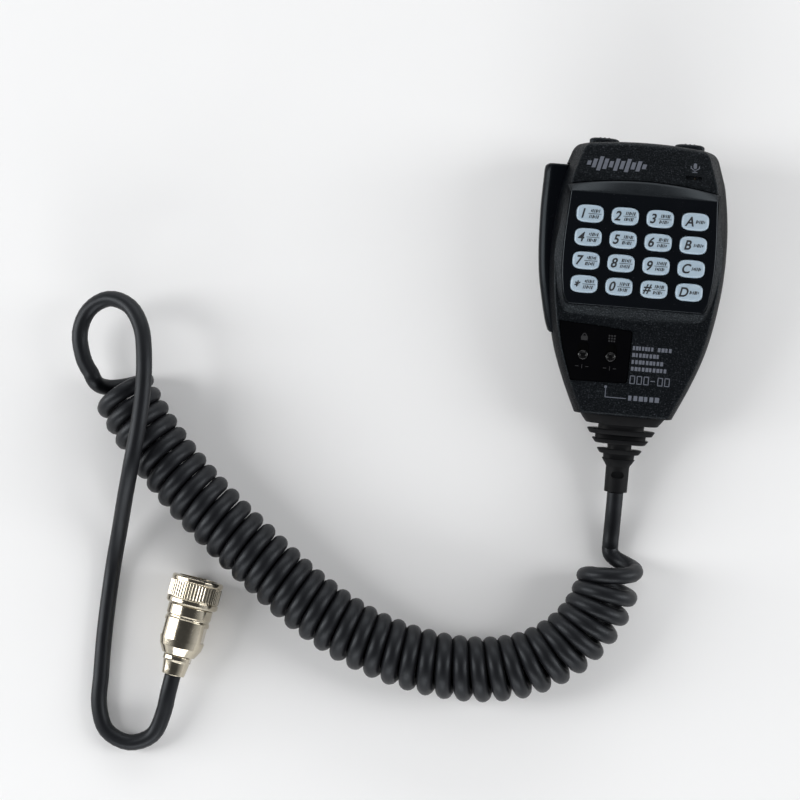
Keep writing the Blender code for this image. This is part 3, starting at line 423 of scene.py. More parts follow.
def add(name, bm, body, slot, *nodes, finish=None, place=BENCH, sharp=32.0, even=False):
    """A piece of the finished object, seated on a body and standing for CAD nodes.

    Its material is its slot's unless finish names another; even weighs its normals by face size.
    """
    bm.transform(place)
    mesh = meshed(name, bm)
    mesh.materials.append(FINISHES[finish or slot])
    mesh.shade_smooth()
    mesh.set_sharp_from_angle(angle=math.radians(sharp))
    obj = linked(name, mesh)
    if even:
        obj.modifiers.new("even normals", "WEIGHTED_NORMAL").keep_sharp = True
    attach(obj, body)
    if nodes:
        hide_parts(*nodes)
    return obj


# ---- finishes

COOL_SHEEN = (0.8, 0.92, 1.0, 1.0)
WALL_TO_FACE = (0.35, 0.62)


class Finish:
    """A procedural material, built up on one Principled shader. Sizes and depths are in millimetres."""

    def __init__(self, name, colour, roughness, **settings):
        self.name = name
        self.material = bpy.data.materials.new(name)
        self.material.use_nodes = True
        self.tree = self.material.node_tree
        self.shader = self.tree.nodes["Principled BSDF"]
        self.shader.inputs["Base Color"].default_value = (*colour, 1.0)
        self.shader.inputs["Roughness"].default_value = roughness
        for label, value in settings.items():
            self.shader.inputs[label.replace("_", " ")].default_value = value
        self.place = self.tree.nodes.new("ShaderNodeTexCoord").outputs["Object"]

    def node(self, kind, **inputs):
        made = self.tree.nodes.new(kind)
        for label, value in inputs.items():
            socket = made.inputs[label.replace("_", " ")]
            if isinstance(value, bpy.types.NodeSocket):
                self.tree.links.new(value, socket)
            else:
                socket.default_value = value
        return made

    def shade(self, label, socket):
        self.tree.links.new(socket, self.shader.inputs[label])
        return self

    def noise(self, size, detail=2.0, stretch=(1.0, 1.0, 1.0)):
        place = self.node("ShaderNodeMapping", Vector=self.place, Scale=stretch).outputs["Vector"]
        made = self.node("ShaderNodeTexNoise", Vector=place, Scale=1 / (size * MM), Detail=detail)
        return made.outputs["Fac"]

    def band(self, value, low, high):
        """0 below low, 1 above high, smooth between them."""
        made = self.node("ShaderNodeMapRange", Value=value, From_Min=low, From_Max=high)
        made.interpolation_type = "SMOOTHSTEP"
        return made.outputs["Result"]

    def spread(self, share, low, high):
        """From low, where share is 0, to high, where it is 1."""
        return self.node("ShaderNodeMapRange", Value=share, To_Min=low, To_Max=high).outputs["Result"]

    def colour(self, share, low, high):
        """Colours the surface from low, where share is 0, to high, where it is 1."""
        mix = self.tree.nodes.new("ShaderNodeMix")
        mix.data_type = "RGBA"
        self.tree.links.new(share, mix.inputs["Factor"])
        mix.inputs[6].default_value = (*low, 1.0)
        mix.inputs[7].default_value = (*high, 1.0)
        return self.shade("Base Color", mix.outputs[2])

    def roughness(self, share, low, high):
        return self.shade("Roughness", self.spread(share, low, high))

    def painted_wall_shade(self, side, front):
        """Less sheen on walls than on faces that look up: painted shade that darkens the walls by which way they
        face.
        """
        parts = self.node("ShaderNodeSeparateXYZ", Vector=self.place.node.outputs["Normal"])
        self.shader.inputs["Specular Tint"].default_value = COOL_SHEEN
        return self.shade("Specular IOR Level",
                          self.spread(self.band(parts.outputs["Z"], *WALL_TO_FACE), side, front))

    def bump(self, height, depth, strength=0.5):
        made = self.node("ShaderNodeBump", Height=height, Distance=depth * MM, Strength=strength)
        return self.shade("Normal", made.outputs["Normal"])


def textured_case():
    """Fine spark-eroded black plastic; a few of its grains are painted lighter, as painted glints where light
    would catch them.
    """
    made = Finish("textured_case", (0.0025, 0.003, 0.004), 0.34)
    grain_and_glints = made.noise(0.5, 3.0)
    # painted glints: sparse lighter specks in the base colour stand for light caught by the grain
    made.colour(made.band(grain_and_glints, 0.58, 0.76), (0.0014, 0.0018, 0.0027), (0.03, 0.033, 0.04))
    made.roughness(made.noise(0.8, 4.0), 0.24, 0.46)
    # painted shade: the walls get less sheen than the face; the face's sheen varies with the grain
    made.painted_wall_shade(0.016, made.spread(made.band(grain_and_glints, 0.4, 0.68), 0.14, 0.31))
    return made.bump(made.noise(0.45, 3.0), 0.22, 1.0)


def black_gloss(name, sheen):
    """Smooth black plastic with a shallow ripple and a little dust."""
    made = Finish(name, (0.003, 0.0035, 0.0045), 0.2)
    made.colour(made.band(made.noise(0.5, 2.0), 0.72, 0.78), (0.0026, 0.0032, 0.0046), (0.03, 0.03, 0.035))
    made.roughness(made.noise(3.5, 5.0), 0.18, 0.32)
    # painted shade: the walls get less sheen than the face
    made.painted_wall_shade(0.012, sheen)
    return made.bump(made.noise(4.0), 0.02, 0.4)


def circuit_board():
    """Green solder mask over copper tracks, with tinned pads."""
    made = Finish("circuit_board", (0.03, 0.13, 0.06), 0.4)
    tracks = made.band(made.noise(2.2, 0.0, (1.0, 6.0, 1.0)), 0.5, 0.53)
    made.colour(tracks, (0.02, 0.09, 0.045), (0.04, 0.17, 0.08))
    pads = made.node("ShaderNodeTexVoronoi", Vector=made.place, Scale=1 / (2.4 * MM)).outputs["Distance"]
    made.roughness(made.band(pads, 0.25, 0.3), 0.25, 0.45)
    return made.bump(tracks, 0.03, 0.6)


def mottled(name, low, high, rough, noises, depth, strength=0.5, **settings):
    """A finish between two tones and two roughnesses; noises are the (size, detail) behind its tone,
    its roughness and its relief.
    """
    made = Finish(name, high, sum(rough) / 2, **settings)
    tone, wear, relief = [made.noise(*noise) for noise in noises]
    return made.colour(tone, low, high).roughness(wear, *rough).bump(relief, depth, strength)


def metal(name, bright, dull, low, high, grain):
    """Plated metal with fine turning marks and patches of dulling."""
    noises = ((4.0, 4.0), (1.6, 5.0), (grain, 2.0))
    return mottled(name, dull, bright, (low, high), noises, 0.004, Metallic=1.0)


def plain(name, low, high, rough, size, depth):
    """A moulded material, or ink, with slight changes of tone and a fine grain."""
    noises = ((size * 4, 3.0), (size * 2, 3.0), (size, 2.0))
    return mottled(name, low, high, (rough * 0.85, rough * 1.15), noises, depth)


def make_finishes():
    """Every material by its name, which is the record's slot for all but the lever and the inks."""
    made = (
        textured_case(),
        black_gloss("gloss_panel", 0.26),
        black_gloss("lever", 0.12),
        circuit_board(),
        mottled("smoked_window", (0.0006, 0.0006, 0.0009), (0.0018, 0.0018, 0.0024), (0.07, 0.16),
                ((8.0, 2.0), (2.2, 6.0), (5.0, 2.0)), 0.01, 0.4, Specular_IOR_Level=0.16),
        mottled("translucent_key", (0.34, 0.435, 0.515), (0.395, 0.49, 0.57), (0.32, 0.46),
                ((2.4, 3.0), (1.2, 3.0), (0.3, 2.0)), 0.006, Subsurface_Weight=0.2,
                Subsurface_Scale=0.0012, Subsurface_Radius=(0.8, 1.0, 1.2)),
        mottled("black_rubber", (0.003, 0.0032, 0.004), (0.006, 0.0063, 0.007), (0.46, 0.64),
                ((5.0, 4.0), (1.5, 4.0), (0.3, 3.0)), 0.02, Specular_IOR_Level=0.12),
        mottled("cord_jacket", (0.0045, 0.0048, 0.006), (0.009, 0.0094, 0.011), (0.36, 0.5),
                ((9.0, 4.0), (2.5, 4.0), (0.35, 3.0)), 0.01, Specular_IOR_Level=0.26,
                Specular_Tint=(0.88, 0.94, 1.0, 1.0)),
        mottled("black_moulding", (0.0028, 0.0028, 0.0032), (0.006, 0.006, 0.0065), (0.16, 0.28),
                ((3.0, 2.0), (1.0, 3.0), (0.25, 2.0)), 0.01, 0.4, Specular_IOR_Level=0.4),
        metal("zinc_steel", (0.62, 0.62, 0.60), (0.48, 0.48, 0.46), 0.28, 0.46, 0.3),
        metal("nickel_plate", (0.66, 0.60, 0.49), (0.50, 0.45, 0.35), 0.10, 0.24, 0.5),
        plain("silicone", (0.36, 0.38, 0.39), (0.44, 0.46, 0.47), 0.6, 0.4, 0.01),
        plain("capacitor_sleeve", (0.03, 0.04, 0.09), (0.05, 0.06, 0.13), 0.35, 0.6, 0.01),
        plain("led_lens", (0.74, 0.72, 0.48), (0.82, 0.80, 0.58), 0.25, 0.4, 0.005),
        plain("natural_nylon", (0.68, 0.66, 0.58), (0.77, 0.75, 0.68), 0.5, 0.4, 0.01),
        plain("orange_plunger", (0.58, 0.16, 0.04), (0.72, 0.23, 0.06), 0.42, 0.3, 0.01),
        plain("grey_ink", (0.085, 0.095, 0.12), (0.12, 0.13, 0.16), 0.6, 0.25, 0.004),
        plain("key_ink", (0.010, 0.011, 0.014), (0.022, 0.024, 0.028), 0.5, 0.25, 0.004),
        plain("window_ink", (0.006, 0.006, 0.007), (0.013, 0.013, 0.015), 0.55, 0.25, 0.004),
    )
    return {finish.name: finish.material for finish in made}


# ---- cord

def coil_line():
    """The centre line of the curly cord: turns round its route that open out at both ends into the tails."""
    route = spline([(x, y, COIL_HEIGHT) for x, y in COIL_ROUTE], 0.9)
    travel = [0.0]
    for before, after in zip(route, route[1:]):
        travel.append(travel[-1] + (after - before).length)
    total = travel[-1]
    turns = round((total - COIL_EASE) / COIL_PITCH - 0.25) + 0.25
    rate = 2 * math.pi * turns / (total - COIL_EASE)

    def turned_by(at):
        """The angle reached there; the rate rises from nothing over COIL_EASE, and falls again."""
        def rising(reach):
            if reach >= COIL_EASE:
                return reach - COIL_EASE / 2
            share = reach / COIL_EASE
            return COIL_EASE * (share ** 3 - share ** 4 / 2)
        if at <= total / 2:
            return rate * rising(at)
        return 2 * math.pi * turns - rate * rising(total - at)

    samples = round(turns * 26)
    line, at = [], 0
    for step in range(samples + 1):
        reach = total * step / samples
        while at < len(travel) - 2 and travel[at + 1] < reach:
            at += 1
        share = (reach - travel[at]) / (travel[at + 1] - travel[at])
        centre = route[at].lerp(route[at + 1], share)
        heading = (route[min(at + 2, len(route) - 1)] - route[max(at - 1, 0)]).normalized()
        left = Vector((-heading.y, heading.x, 0.0))
        angle = turned_by(reach) - math.pi / 2
        rise = Vector((0, 0, COIL_RADIUS * math.sin(angle)))
        line.append(centre + left * (COIL_RADIUS * math.cos(angle)) + rise)
    return line


def curly_cord(plug_pieces):
    """The whole cord, from the strain relief through the turns to the plug, as one curve."""
    start = BENCH @ Vector((0.0, BOTTOM_Y - BOOT_LENGTH - GAP, BOOT_Z)) / MM
    coil = coil_line()
    tail = spline([start] + list(MIC_TAIL_ROUTE), 2.0)
    end = spline([coil[-1]] + list(PLUG_TAIL_ROUTE), 2.5)
    line = tail + coil + end[1:]
    curve = bpy.data.curves.new("curly_cord_whole", "CURVE")
    curve.dimensions = "3D"
    curve.bevel_depth = CORD_DIAMETER / 2 * MM
    curve.bevel_resolution = 6
    curve.use_fill_caps = True
    run = curve.splines.new("POLY")
    run.points.add(len(line) - 1)
    for slot, point in zip(run.points, line):
        slot.co = (*(point * MM), 1.0)
    run.use_smooth = True
    curve.materials.append(FINISHES["cord_jacket"])
    cord = linked("curly_cord_whole", curve)
    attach(cord, "housing")
    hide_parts("mic_tail", "curly_cord", "plug_tail")


# ---- case

def half_width(y):
    """The case's half-width: its side, then a quarter round into the top edge."""
    if y <= CORNER_Y:
        return interpolate(SIDE, y)
    line = straight(SIDE, y)
    share = share_of(CORNER_Y, TOP_Y, y)
    return TOP_HALF + (line - TOP_HALF) * (1 - share ** 2.6) ** (1 / 2.6)


def arch_drop(x, y):
    """How far the arched top edge falls towards its corners; none at the key field and below."""
    return ARCH * share_of(ARCH_FROM_Y, TOP_Y, y) * (x / ARCH_HALF) ** 2


def face_z(y):
    """Height of the front face, which rounds over into the two end walls."""
    level = straight(FACE_Z, y)
    for end, length, drop in ((BOTTOM_Y, 1.1, 1.2), (TOP_Y, 1.6, 2.0)):
        share = share_of(length, 0.0, abs(end - y))
        level -= drop * (1 - math.sqrt(1 - share * share))
    return level


def shoulder(y, rise):
    """(inset, drop below the face) up the side wall, whose top turns over a small radius into the face."""
    low, high = SHOULDER_INSET
    reach = low + (high - low) * share_of(*SHOULDER_GROWS, y)
    wall_inset, wall_drop = reach - 0.85 * SHOULDER_ROUND, 0.47 * SHOULDER_ROUND
    points = []
    for step in range(7):
        t = step / 7
        points.append((wall_inset * (0.35 * t + 0.65 * t * t), rise - (rise - wall_drop) * t))
    for step in range(6):
        angle = math.radians(58.0) * (1 - step / 5)
        points.append((reach - SHOULDER_ROUND * math.sin(angle), SHOULDER_ROUND * (1 - math.cos(angle))))
    return points


def case_stations():
    """Places up the case, close together where its ends round over."""
    low_y, high_y = FACE_Z[0][0], CORNER_Y
    lower = [low_y - (low_y - BOTTOM_Y) * math.sin(math.radians(90 - 15.0 * i)) for i in range(6)]
    middle = [low_y + (high_y - low_y) * i / 46 for i in range(46)]
    upper = [high_y + (TOP_Y - high_y) * math.sin(math.radians(7.5 * i)) for i in range(13)]
    return lower + middle + upper


def case_outline(scale=1.0):
    """The case seen from the front, scaled about its middle."""
    right = [(half_width(y), y) for y in case_stations()]
    right += [(TOP_HALF * (1 - i / 10), TOP_Y) for i in range(1, 10)]
    right = [(x, y - arch_drop(x, y)) for x, y in right]
    outline = right + [(0.0, TOP_Y)] + [(-x, y) for x, y in reversed(right)]
    return [(x * scale, CASE_MIDDLE_Y + (y - CASE_MIDDLE_Y) * scale) for x, y in outline]


def case_solid(sections, floor):
    """A solid up the case's length, from the (x, z) section at each y down to a floor."""
    top, bottom = [], []
    for y, section in sections:
        top.append([(x, y - arch_drop(x, y), z) for x, z in section])
        bottom.append([(x, y - arch_drop(x, y), floor) for x, z in section])
    return sheet_solid(top, bottom)


def front_skin():
    sections = []
    for y in case_stations():
        w, front = half_width(y), face_z(y)
        half = [(w - inset, front - drop) for inset, drop in shoulder(y, front - SHOULDER_Z)]
        half += [(half[-1][0] * share, front) for share in (0.8, 0.6, 0.4, 0.2)]
        sections.append((y, [(-x, z) for x, z in half] + [(0.0, front)] + half[::-1]))
    return case_solid(sections, PARTING_Z)


def field_solid():
    """The raised key field, its sloping sides and the soft edges at their top and foot."""
    chains = []
    for pairs in (FIELD_UPPER, FIELD_LOWER):
        chains.append([spline([pair[level] for pair in pairs], 6) for level in (0, 1)])
    top = chains[0][0] + chains[1][0][1:]
    foot = chains[0][1] + chains[1][1][1:]
    rings = []
    rise = FIELD_Z - FIELD_FOOT_Z
    side = ((0.0, 1.6), (0.0, 0.0), (0.08, 0.05), (0.5, 0.5), (0.9, 0.9), (0.985, 0.965), (1.03, 1.0))
    for share, fall in side:
        half = []
        for a, b in zip(foot, top):
            x, y = a.lerp(b, share)
            z = FIELD_FOOT_Z - fall if share == 0.0 else FIELD_FOOT_Z + rise * fall
            half.append((x, y, z))
        rings.append(half + [(-x, y, z) for x, y, z in reversed(half[1:-1])])
    return loft(rings)


def panel_solid(grow=0.0, lift=0.0):
    """The keypad panel: flat over the keys, its upper strip bent back down to an arched edge.

    grow widens it all round and lowers its underside; lift raises its top. Both are for its pocket.
    """
    margins = [0.0, 0.06, 0.2, PANEL_ROUND, 1.2]
    flat_low, flat_high = PANEL_WIDTH[0][0], PANEL_WIDTH[-1][0]
    rows = [flat_low - grow + margin for margin in margins]
    rows += [rows[-1] + (flat_high - rows[-1]) * i / 16 for i in range(1, 17)]
    strip = [0.05, 0.12, 0.22, 0.4, 0.6, 0.8, 0.92, 0.97, 1.0]
    top, bottom = [], []
    for index, step in enumerate(rows + strip):
        on_strip = index >= len(rows)
        share = step if on_strip else 0.0
        w = interpolate(PANEL_WIDTH, flat_high if on_strip else step) * (1 - share) + BAND_HALF * share + grow
        half = [w - margin for margin in margins] + [(w - margins[-1]) * (1 - i / 12) for i in range(1, 12)]
        across = [-x for x in half] + [0.0] + list(reversed(half))
        bend = (math.hypot(share, 0.1) - 0.1) / (math.hypot(1.0, 0.1) - 0.1)
        upper, lower = [], []
        for x in across:
            end = BAND_END_Y + grow - BAND_ARCH * (x / BAND_HALF) ** 2
            y = flat_high + (end - flat_high) * share if on_strip else step
            depth = min(w - abs(x), y - rows[0], (1 - share) * (end - flat_high) if on_strip else 9.0)
            inner = max(PANEL_ROUND - depth, 0.0)
            fall = PANEL_ROUND - math.sqrt(max(PANEL_ROUND ** 2 - inner ** 2, 0.0)) if not lift else 0.0
            level = PANEL_Z - BAND_FALL * bend
            upper.append((x, y, level + PANEL_THICK - fall + lift))
            lower.append((x, y, level - grow))
        top.append(upper)
        bottom.append(lower)
    return sheet_solid(top, bottom)


def window_solid(grow=0.0, lift=0.0):
    """The dark window over the slide switches, parallel to the sloping lower face."""
    centre = Vector(WINDOW_MIDDLE)
    rings = []
    edges = ((-1.0 - grow, grow), (lift, grow))
    if not grow:
        edges = ((-1.0, 0.0), (-0.12, 0.0), (-0.03, -0.05), (0.0, -0.16))
    for depth, out in edges:
        ring = []
        for x, y in rounded(WINDOW_OUTLINE, 0.5):
            away = (Vector((x, y)) - centre).normalized() * out * 1.3
            ring.append((x + away.x, y + away.y, face_z(y) - WINDOW_SUNK + depth))
        rings.append(ring)
    return loft(rings)


def front_cavity():
    """The hollow of the front case, a wall's thickness inside it."""
    sections = []
    for y in (-56.8, -50.0, -40.0, -30.0, -20.0, -10.0, 0.0, 10.0, 20.0, 27.0, 32.0, 35.6, 37.4):
        w = half_width(y) - WALL - (1.6 if y > CORNER_Y else 0.0)
        ceiling = straight(FACE_Z, min(y, CORNER_Y)) - 3.0
        half = [(w, ceiling - 3.6), (w - 4.0, ceiling)]
        sections.append((y, [(-x, z) for x, z in half] + half[::-1]))
    return case_solid(sections, PARTING_Z - 1.0)


def knob_slots(gap, steps):
    """The openings for the two knobs, with a gap all round them."""
    slot = stadium(KNOB_RADIUS + gap, 0.0, KNOB_TRAVEL, steps)
    return [moved(prism(slot, 20.0, 30.0), x, y) for x, y in KNOB_XY]


def lever_opening():
    return box(-42.0, -22.0, -31.3, 30.7, LEVER_Z[0] - GAP, LEVER_Z[1] + GAP)


def boot_opening():
    return moved(along_y(prism(superellipse(5.9, 4.9, 24, 2.5), -8.0, 8.0)), y=BOTTOM_Y, z=BOOT_Z)


def front_case():
    w, h = FIELD_OPENING
    cuts = [front_cavity(), panel_solid(GAP, 6.0), window_solid(GAP, 4.0), box(-w, w, -h, h, 20.0, 36.0),
            lever_opening(), boot_opening()]
    cuts += knob_slots(0.7, 16)
    x, y = SOUND_XY
    cuts.append(moved(prism(circle(0.55, 20), 18.0, 30.0), x + 0.6, y))
    slot = [(b, a) for a, b in stadium(0.75, -2.3, 2.3)]
    cuts.append(moved(prism(slot, face_z(y) - 0.9, 30.0), x, y))
    half_x, half_z = TOP_BUTTON_HALF
    for side in (-1, 1):
        hole = along_y(prism(superellipse(half_x + GAP, half_z + GAP, 40, 3.0), -3.0, 4.0))
        cuts.append(moved(hole, side * TOP_BUTTON_X, TOP_Y - 1.0, TOP_BUTTON_Z))
    shell = carve(front_skin(), cuts, [field_solid()])
    add("front_case_moulding", shell, "housing", "textured_case", "front_case", even=True)


def rear_case():
    levels = [0.0, 0.12, 0.3, 0.55, 0.9, 1.4, 2.0, 3.0, 4.5, 6.0, 8.0, 10.0, 12.0, 13.3, PARTING_Z - GAP]
    outside = stack(*((case_outline(interpolate(REAR_RINGS, z)), z) for z in levels))
    inside = stack(*((case_outline(scale), z) for z, scale in ((2.2, 0.84), (4.4, 0.915), (16.0, 0.93))))
    screw_hole = moved(prism(circle(1.65, 24), -1.0, 5.9), 0.0, HANGER_Y)
    cuts = [inside, lever_opening(), boot_opening(), screw_hole]
    for x, y in CASE_SCREWS:
        cuts.append(moved(turned(eased([(-1.0, 2.9), (0.35, 2.4), (3.4, 2.4)], 0.3), 40), x, y))
    add("rear_case_moulding", carve(outside, cuts), "housing", "textured_case", "rear_case", even=True)


# ---- keypad

def key_places():
    """Each key's row and column, and where its middle lies."""
    for row in range(4):
        for column in range(4):
            yield row, column, (column - 1.5) * KEY_PITCH[0], (1.5 - row) * KEY_PITCH[1]


def key_top(x, y):
    """Height of a key's crowned top, from the key's own middle."""
    return KEY_TOP_Z - KEY_CROWN * ((x / KEY_HALF[0]) ** 2 + (y / KEY_HALF[1]) ** 2)


def keypad_panel():
    w, h, top = KEY_HALF[0] + GAP, KEY_HALF[1] + GAP, PANEL_Z + PANEL_THICK
    levels = ((0.0, 26.0), (0.0, top - 0.3), (0.05, top - 0.14), (0.3, top + 0.12))
    holes = []
    for _, _, x, y in key_places():
        hole = stack(*((superellipse(w + wide, h + wide, 48, KEY_POWER), z) for wide, z in levels))
        holes.append(moved(hole, x, y))
    add("keypad_panel_moulding", carve(panel_solid(), holes), "housing", "gloss_panel", "keypad_panel",
        even=True)


def key_solid():
    """A keytop on its flange, with a rounded rim and a crowned top."""
    w, h = KEY_HALF
    rings = [[(x, y, z) for x, y in superellipse(w + rim, h + rim, 48, KEY_POWER)]
             for rim, z in ((0.5, KEY_BOTTOM_Z), (0.5, KEY_BOTTOM_Z + 1.2), (0.0, KEY_BOTTOM_Z + 1.2))]
    start = KEY_TOP_Z - KEY_ROUND - KEY_CROWN
    for step in range(7):
        angle = math.radians(90 * step / 6)
        inset = KEY_ROUND * (1 - math.cos(angle))
        rings.append([(x, y, start + (key_top(x, y) - start) * math.sin(angle))
                      for x, y in superellipse(w - inset, h - inset, 48, KEY_POWER)])
    for scale in (0.8, 0.6, 0.4, 0.2, 0.05):
        ring = superellipse((w - KEY_ROUND) * scale, (h - KEY_ROUND) * scale, 48, KEY_POWER)
        rings.append([(x, y, key_top(x, y)) for x, y in ring])
    return loft(rings)


def glyph(mark, height, x):
    """A slanted digit or letter as a thin solid about a middle point, from the built-in font."""
    text = bpy.data.curves.new("glyph", "FONT")
    text.body = mark
    text.extrude = 0.02
    text.offset = 0.022
    holder = linked("glyph", text)
    bpy.context.view_layer.update()
    mesh = bpy.data.meshes.new_from_object(holder)
    bm = bmesh.new()
    bm.from_mesh(mesh)
    bpy.data.meshes.remove(mesh)
    bpy.data.objects.remove(holder)
    bpy.data.curves.remove(text)
    bmesh.ops.remove_doubles(bm, verts=bm.verts, dist=0.0005)
    middle = []
    for axis in (0, 1):
        places = [vertex.co[axis] for vertex in bm.verts]
        middle.append((min(places) + max(places)) / 2)
    size = height / GLYPH_HEIGHT
    for vertex in bm.verts:
        high = (vertex.co.y - middle[1]) * size
        across = (vertex.co.x - middle[0]) * size * 0.92 + high * SLANT
        vertex.co = (x + across, high, 1.0 if vertex.co.z > 0 else 0.0)
    return bm


def thin(outline, x=0.0, y=0.0):
    """A thin solid with an outline, to be inked on a surface."""
    return prism([(a + x, b + y) for a, b in outline], 0.0, 1.0)


def strip(x0, x1, y, height, slant=0.0):
    """A bar about a middle line, upright or slanted, as a thin solid."""
    lean = height / 2 * slant
    return thin([(x0 - lean, -height / 2), (x1 - lean, -height / 2), (x1 + lean, height / 2),
                 (x0 + lean, height / 2)], 0.0, y)


def inked(solids, surface, lift=INK_LIFT, sink=0.12, pitch=0.5):
    """Thin solids laid on a curved surface, after being cut across so that they can bend with it."""
    bm = merged(solids)
    for axis in (0, 1):
        low = min(vertex.co[axis] for vertex in bm.verts)
        high = max(vertex.co[axis] for vertex in bm.verts)
        for step in range(1, math.ceil((high - low) / pitch)):
            place, normal = Vector(), Vector()
            place[axis] = low + pitch * step
            normal[axis] = 1.0
            everything = bm.verts[:] + bm.edges[:] + bm.faces[:]
            bmesh.ops.bisect_plane(bm, geom=everything, plane_co=place, plane_no=normal)
    for vertex in bm.verts:
        level = surface(vertex.co.x, vertex.co.y)
        vertex.co.z = level + (lift if vertex.co.z > 0.5 else -sink)
    return bm


def ticks(start, end, y, height, seed):
    """A line of fine slanted strokes in place of a word."""
    made = []
    for i in range(int((end - start) / TICK_PITCH)):
        x = start + TICK_PITCH * i
        tall = height * (0.62 if (i * 5 + seed) % 4 == 0 else 1.0)
        made.append(strip(x, x + (0.42 if (i + seed) % 3 == 0 else 0.28), y, tall, SLANT))
    return made


def function_marks(row, column):
    """A key's second function, as strokes in place of words: two lines and a rule, or one line."""
    seed = row * 4 + column
    if column == 3:
        return ticks(0.2, 4.1, 0.0, 1.2, seed)
    rule = strip(-0.65, 4.0, 0.0, 0.2)
    return [rule] + ticks(0.2, 4.0, 1.05, 1.2, seed) + ticks(-0.25, 3.7, -1.05, 1.2, seed + 1)


def keys():
    for row, column, x, y in key_places():
        name = KEY_NAMES[row][column]
        node = f"key_{name}"
        add(f"keytop_{name}", moved(key_solid(), x, y), node, "translucent_key", node, sharp=50)
        mark = glyph(KEY_MARKS.get(name, name.upper()), 3.5, -1.75 if column == 3 else -2.4)
        for label, solids in (("legend", [mark]), ("function", function_marks(row, column))):
            add(f"{label}_{name}", moved(inked(solids, key_top), x, y), node, "translucent_key",
                finish="key_ink", sharp=20)


# ---- switches and buttons

def switch_window():
    add("switch_window_pane", carve(window_solid(), knob_slots(GAP, 24)), "housing", "smoked_window",
        "switch_window", even=True)


def knobs():
    """Round caps with a raised rim about a hollow for a fingertip or pen."""
    for label, (x, y) in zip(("lock", "tone"), KNOB_XY):
        top = face_z(y) + 0.35
        rim, hollow = KNOB_RADIUS - 0.08, KNOB_RADIUS - 0.72
        profile = eased([(21.5, 1.1), (23.4, 1.1), (23.4, KNOB_RADIUS - 0.15), (23.8, KNOB_RADIUS),
                         (top - 0.3, KNOB_RADIUS), (top, rim - 0.22), (top, hollow + 0.14),
                         (top - 0.9, hollow - 0.1), (top - 1.0, 0.02)], 0.2, steps=5)
        node = f"{label}_knob"
        add(f"{node}_cap", moved(turned(profile, 48), x, y), node, "black_moulding", node, sharp=60)


def top_buttons():
    """Low domes with three grip ridges; a narrower flange inside keeps each one in its hole."""
    half_x, half_z = TOP_BUTTON_HALF
    back = TOP_Y - 4.7
    for label, side in (("up", 1), ("down", -1)):
        rings = [(-0.7, 0.5, back), (-0.7, 0.5, back + 1.0), (-0.7, 0.0, back + 1.0), (0.0, 0.0, back + 1.5),
                 (0.0, 0.0, TOP_Y - 0.1)]
        for step in range(1, 9):
            angle = math.radians(90 * step / 8)
            share = 1 - math.cos(angle)
            rings.append((-2.4 * share, -1.0 * share, TOP_Y - 0.1 + math.sin(angle)))
        body = [[(a, y, b) for a, b in superellipse(half_x + wide, half_z + tall, 48, 3.0)]
                for wide, tall, y in rings]
        ridges = []
        for offset in (-1.6, 0.0, 1.6):
            bar = superellipse(0.4, 1.3, 24, 3.0)
            tops = ((1.0, TOP_Y + 0.3), (0.95, TOP_Y + 0.98), (0.7, TOP_Y + 1.08))
            ridges.append(loft([[(offset + a * k, y, b * k) for a, b in bar] for k, y in tops]))
        button = moved(carve(loft(body), joined=ridges), side * TOP_BUTTON_X, 0.0, TOP_BUTTON_Z)
        node = f"{label}_button"
        add(f"{node}_cap", button, node, "textured_case", node, sharp=40)


def ptt_lever():
    """The push-to-talk lever: a long curved bar with soft edges, its knuckle, stop and switch arm."""
    low, high = LEVER_Z
    rings = []
    ends = (LEVER_OUTER[0][0], LEVER_OUTER[-1][0])
    for y, edge in spline(LEVER_OUTER, 5):
        inner = -(half_width(y) - LEVER_DEPTH + max(0.0, y - 16.0) * 0.155)
        near_end = min(y - ends[0], ends[1] - y)
        shrink = 0.5 * max(0.0, 1 - near_end / 0.7) ** 2
        corners = [(inner, low + shrink), (inner, high - shrink), (edge + 2.2, high - shrink),
                   (edge + 0.35 + shrink, high - 1.5), (edge + shrink, (low + high) / 2),
                   (edge + 0.35 + shrink, low + 1.5), (edge + 2.2, low + shrink)]
        rings.append([(x, y, z) for x, z in rounded(corners, 1.3, 5)])
    stop_x = -(half_width(24.0) - WALL) + 0.45
    stop = box(stop_x, stop_x + 1.2, 10.0, 20.0, low - 1.6, high + 1.6)
    web = box(stop_x - 1.8, stop_x + 0.6, 10.6, 19.4, low + 0.4, high - 0.4)
    arm_x = -(half_width(PLUNGER_Y) - LEVER_DEPTH)
    arm = box(arm_x - 1.0, -26.6, PLUNGER_Y - 2.2, PLUNGER_Y + 2.2, PLUNGER_Z - 2.2, PLUNGER_Z + 2.2)
    knuckle = moved(prism(circle(2.5, 32), low, high), PTT_PIVOT.x, PTT_PIVOT.y)
    bore = moved(prism(circle(1.3, 24), 0.0, 30.0), PTT_PIVOT.x, PTT_PIVOT.y)
    bar = carve(loft(rings), [bore], [web, stop, arm, knuckle])
    add("ptt_lever_bar", bar, "ptt_lever", "gloss_panel", "ptt_lever", finish="lever", even=True)


# ---- print on the case

def blocks(start, end, count, y, height):
    """A line of small blocks of slightly different widths in place of lettering."""
    pitch = (end - start) / count
    return [strip(start + pitch * i, start + pitch * (i + 0.6 + 0.1 * ((i * 7 + count) % 3)), y, height)
            for i in range(count)]


